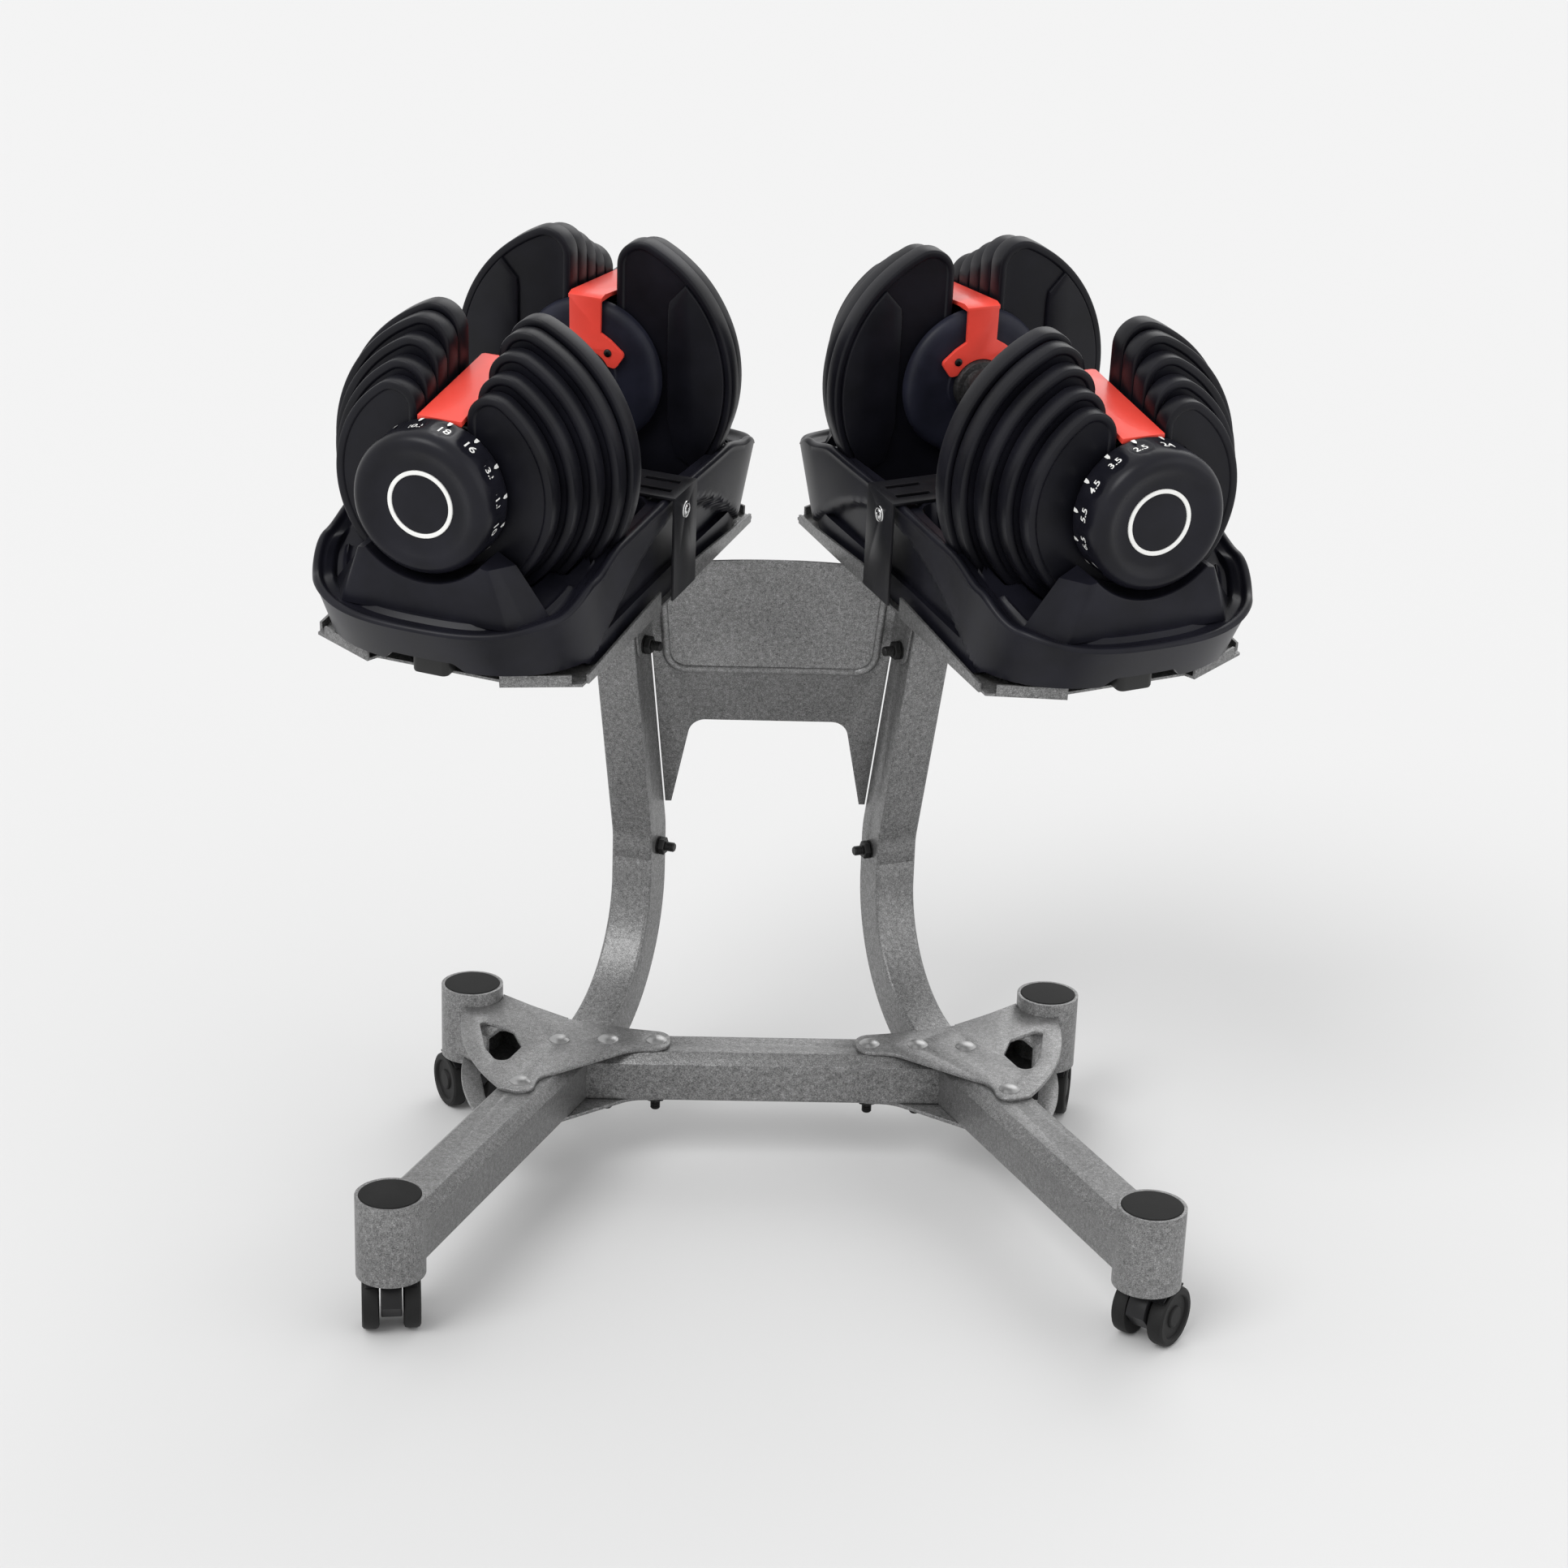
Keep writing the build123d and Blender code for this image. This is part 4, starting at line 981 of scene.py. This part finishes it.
def saddle_ring(back, inset):
    """Outline of the saddle under a dial, as (across, up), at a distance behind its front."""
    reach = SADDLE_SEAT + inset
    lean = 0.68 * back
    points = arc((0, 0), reach, 222, 318, 40)
    right = [(50.0 + 0.35 * lean - inset, -41.0 - 0.3 * lean), (64.0 + lean - inset, -85.0)]
    return points + right + [(-x, z) for x, z in reversed(right)]


def saddle(bm, place):
    """Block under each dial: a round seat with a broken edge and two swept-back sides."""
    for end in (-1, 1):
        loops = []
        for back, inset in ((0.0, 1.6), (0.5, 0.6), (1.5, 0.0), (14.0, 0.0), (31.0, 0.0)):
            loops.append([bm.verts.new(place @ (Vector((x, end * (SADDLE_FRONT - back), z)) * MM))
                          for x, z in saddle_ring(back, inset)])
        count = len(loops[0])
        for low, high in zip(loops, loops[1:]):
            for i in range(count):
                j = (i + 1) % count
                bm.faces.new((low[i], low[j], high[j], high[i]))
        bm.faces.new(loops[0])
        bm.faces.new(loops[-1])


def cradle_foot(bm, place):
    """Rubber foot under each end notch."""
    for end in (-1, 1):
        points = []
        for centre, start in (((9, 5), 0), ((-9, 5), 90), ((-9, -5), 180), ((9, -5), 270)):
            points += arc(centre, 5.0, start, start + 90, 5)
        seat = place @ Matrix.Translation(Vector((0, end * 190.0, -133.8)) * MM)
        rings_solid(bm, points, outline_normals(points),
                    [(1.6, 0.0), (0.5, 0.5), (0.0, 1.8), (0.0, 19.0)], seat)


def make_cradles():
    """Both cradles with their rubber feet."""
    for label, side in SIDES.items():
        bm = bmesh.new()
        cradle_skin(bm, dock(side))
        shell = mesh_object(f"cradle_shell_{label}", bm, CRADLE, 38.0)
        fit(shell, "stand", "cradle_plastic", f"cradle_{label}")
        bm = bmesh.new()
        saddle(bm, dock(side))
        fit(mesh_object(f"cradle_saddles_{label}", bm, CRADLE, 28.0), "stand", "cradle_plastic")
        bm = bmesh.new()
        cradle_foot(bm, dock(side))
        feet = mesh_object(f"cradle_feet_{label}", bm, FOOT, 32.0)
        fit(feet, "stand", "cradle_plastic")


def ringed_screw():
    """Pan-head screw with a bright washer ring, head toward local +Z."""
    bm = bmesh.new()
    turn = Matrix.Rotation(math.radians(90), 4, "X")
    lathe(bm, [(0, 1.0), (1.2, 1.0), (1.5, 2.2), (3.3, 2.0), (4.3, 1.2), (4.6, 0.7), (4.9, 0.9),
               (6.2, 0.7), (6.5, 0.0), (0, 0.0)], 32, turn)
    return mesh_object("ringed_screw_pattern", bm, CHROME)


def make_straps():
    """Strap plates, and the bright screws that fix them."""
    frames = []
    for label, side in SIDES.items():
        softened(f"lock_strap_{label}", STRAP, "strap_paint", 0.6)
        for hand in (-1, 1):
            seat = dock(side) @ Matrix.Translation(Vector((hand * 114.5, 0, -62.0)) * MM)
            frames.append(seat @ Matrix.Rotation(hand * math.pi / 2, 4, "Y"))
    scatter("strap_screw_heads", ringed_screw(), frames, CHROME, "stand", "bright_steel",
            "strap_screws")


# ================================================================= stand and casters
def make_stand():
    """Painted steelwork with broken edges."""
    for label in SIDES:
        for name, width in (("front_leg", 1.0), ("rear_leg", 1.0), ("top_gusset", 0.7),
                            ("bottom_gusset", 0.7), ("column_lower", 0.5), ("column_upper", 0.5),
                            ("tray", 0.6)):
            softened(f"{name}_{label}", SILVER, "stand_paint", width)
    softened("crossbeam", SILVER, "stand_paint", 1.0)
    softened("back_panel", SILVER, "stand_paint", 0.6)
    softened("sleeve_caps", CAP, "cap_plastic", 0.5)


CASTER_TURN = {"fl": 6.0, "fr": -38.0, "rl": 28.0, "rr": -14.0}
CASTER_SPOT = {"fl": (-273.0, -187.0), "fr": (273.0, -187.0), "rl": (-239.5, 187.0),
               "rr": (239.5, 187.0)}
WHEEL_R = 23.0
TRAIL = 11.0


def caster_hood(bm, place):
    """Fork between the wheels, a guard over their tops and a collar under the sleeve."""
    turn = Matrix.Rotation(math.radians(90), 4, "Z") @ Matrix.Rotation(math.radians(90), 4, "X")
    edge = [(0.9, 0.0), (0.25, 0.3), (0.0, 0.9)]

    def slab(points, half):
        profile = edge + [(inset, 2 * half - height) for inset, height in reversed(edge)]
        seat = place @ turn @ Matrix.Translation((0, 0, -half * MM))
        rings_solid(bm, points, outline_normals(points), profile, seat)

    fork = arc((0, 0), WHEEL_R + 2.4, -28, 172, 48) + [(-14.0, -9.0), (8.0, -14.0)]
    slab(fork, 7.6)
    guard = arc((0, 0), WHEEL_R + 2.4, 62, 136, 36) + arc((0, 0), WHEEL_R + 0.7, 136, 62, 36)
    slab(guard, 19.0)
    lathe(bm, [(0, 44.0 - WHEEL_R), (11.0, 44.0 - WHEEL_R), (11.0, 48.0 - WHEEL_R),
               (9.5, 49.3 - WHEEL_R), (6.0, 49.3 - WHEEL_R), (6.0, 60.0 - WHEEL_R),
               (0, 60.0 - WHEEL_R)], 48,
          place @ Matrix.Translation((0, -TRAIL * MM, 0)) @ Matrix.Rotation(math.radians(90), 4, "X"))


def caster_tyres(bm, place):
    """Two wheels with rounded treads and dished hubs."""
    profile = [(0, 8.9), (17.0, 8.9), (20.4, 8.7), (22.4, 9.6), (23.0, 11.6), (23.0, 18.0),
               (22.4, 20.2), (20.8, 21.3), (17.6, 21.3), (16.8, 20.6), (16.2, 19.2), (8.6, 18.9),
               (8.0, 20.2), (7.0, 20.8), (0, 20.8)]
    for hand in (-1, 1):
        lathe(bm, [(radius, hand * along) for radius, along in profile], 72,
              place @ Matrix.Rotation(math.radians(-90), 4, "Z"))


def make_casters():
    """Casters: hoods that swivel and wheels that roll."""
    for corner, (x, y) in CASTER_SPOT.items():
        stem = (Matrix.Translation((x * MM, y * MM + STAND_Y, WHEEL_R * MM))
                @ Matrix.Rotation(math.radians(CASTER_TURN[corner]), 4, "Z"))
        axle = stem @ Matrix.Translation((0, TRAIL * MM, 0))
        bm = bmesh.new()
        caster_hood(bm, axle)
        fit(mesh_object(f"caster_hood_{corner}", bm, CASTER, 30.0), f"caster_{corner}",
            "caster_plastic", f"caster_housing_{corner}")
        bm = bmesh.new()
        caster_tyres(bm, axle)
        fit(mesh_object(f"caster_tyres_{corner}", bm, TREAD, 30.0), f"wheels_{corner}",
            "caster_wheel", f"caster_wheels_{corner}")


def paint_nodes():
    """Finishes for the CAD nodes that stay as they are."""
    for label in SIDES:
        for name, material in (("core_rod", DARK), ("lock_pins", CHROME), ("near_selector", DARK),
                               ("far_selector", DARK)):
            node = NODES[f"{name}_{label}"]
            node.data.materials.clear()
            node.data.materials.append(material)


make_camera()
make_stage()
make_stand()
make_casters()
frame_bolts()
make_plates()
make_dials()
make_handles()
make_bridges()
make_cradles()
make_straps()
paint_nodes()
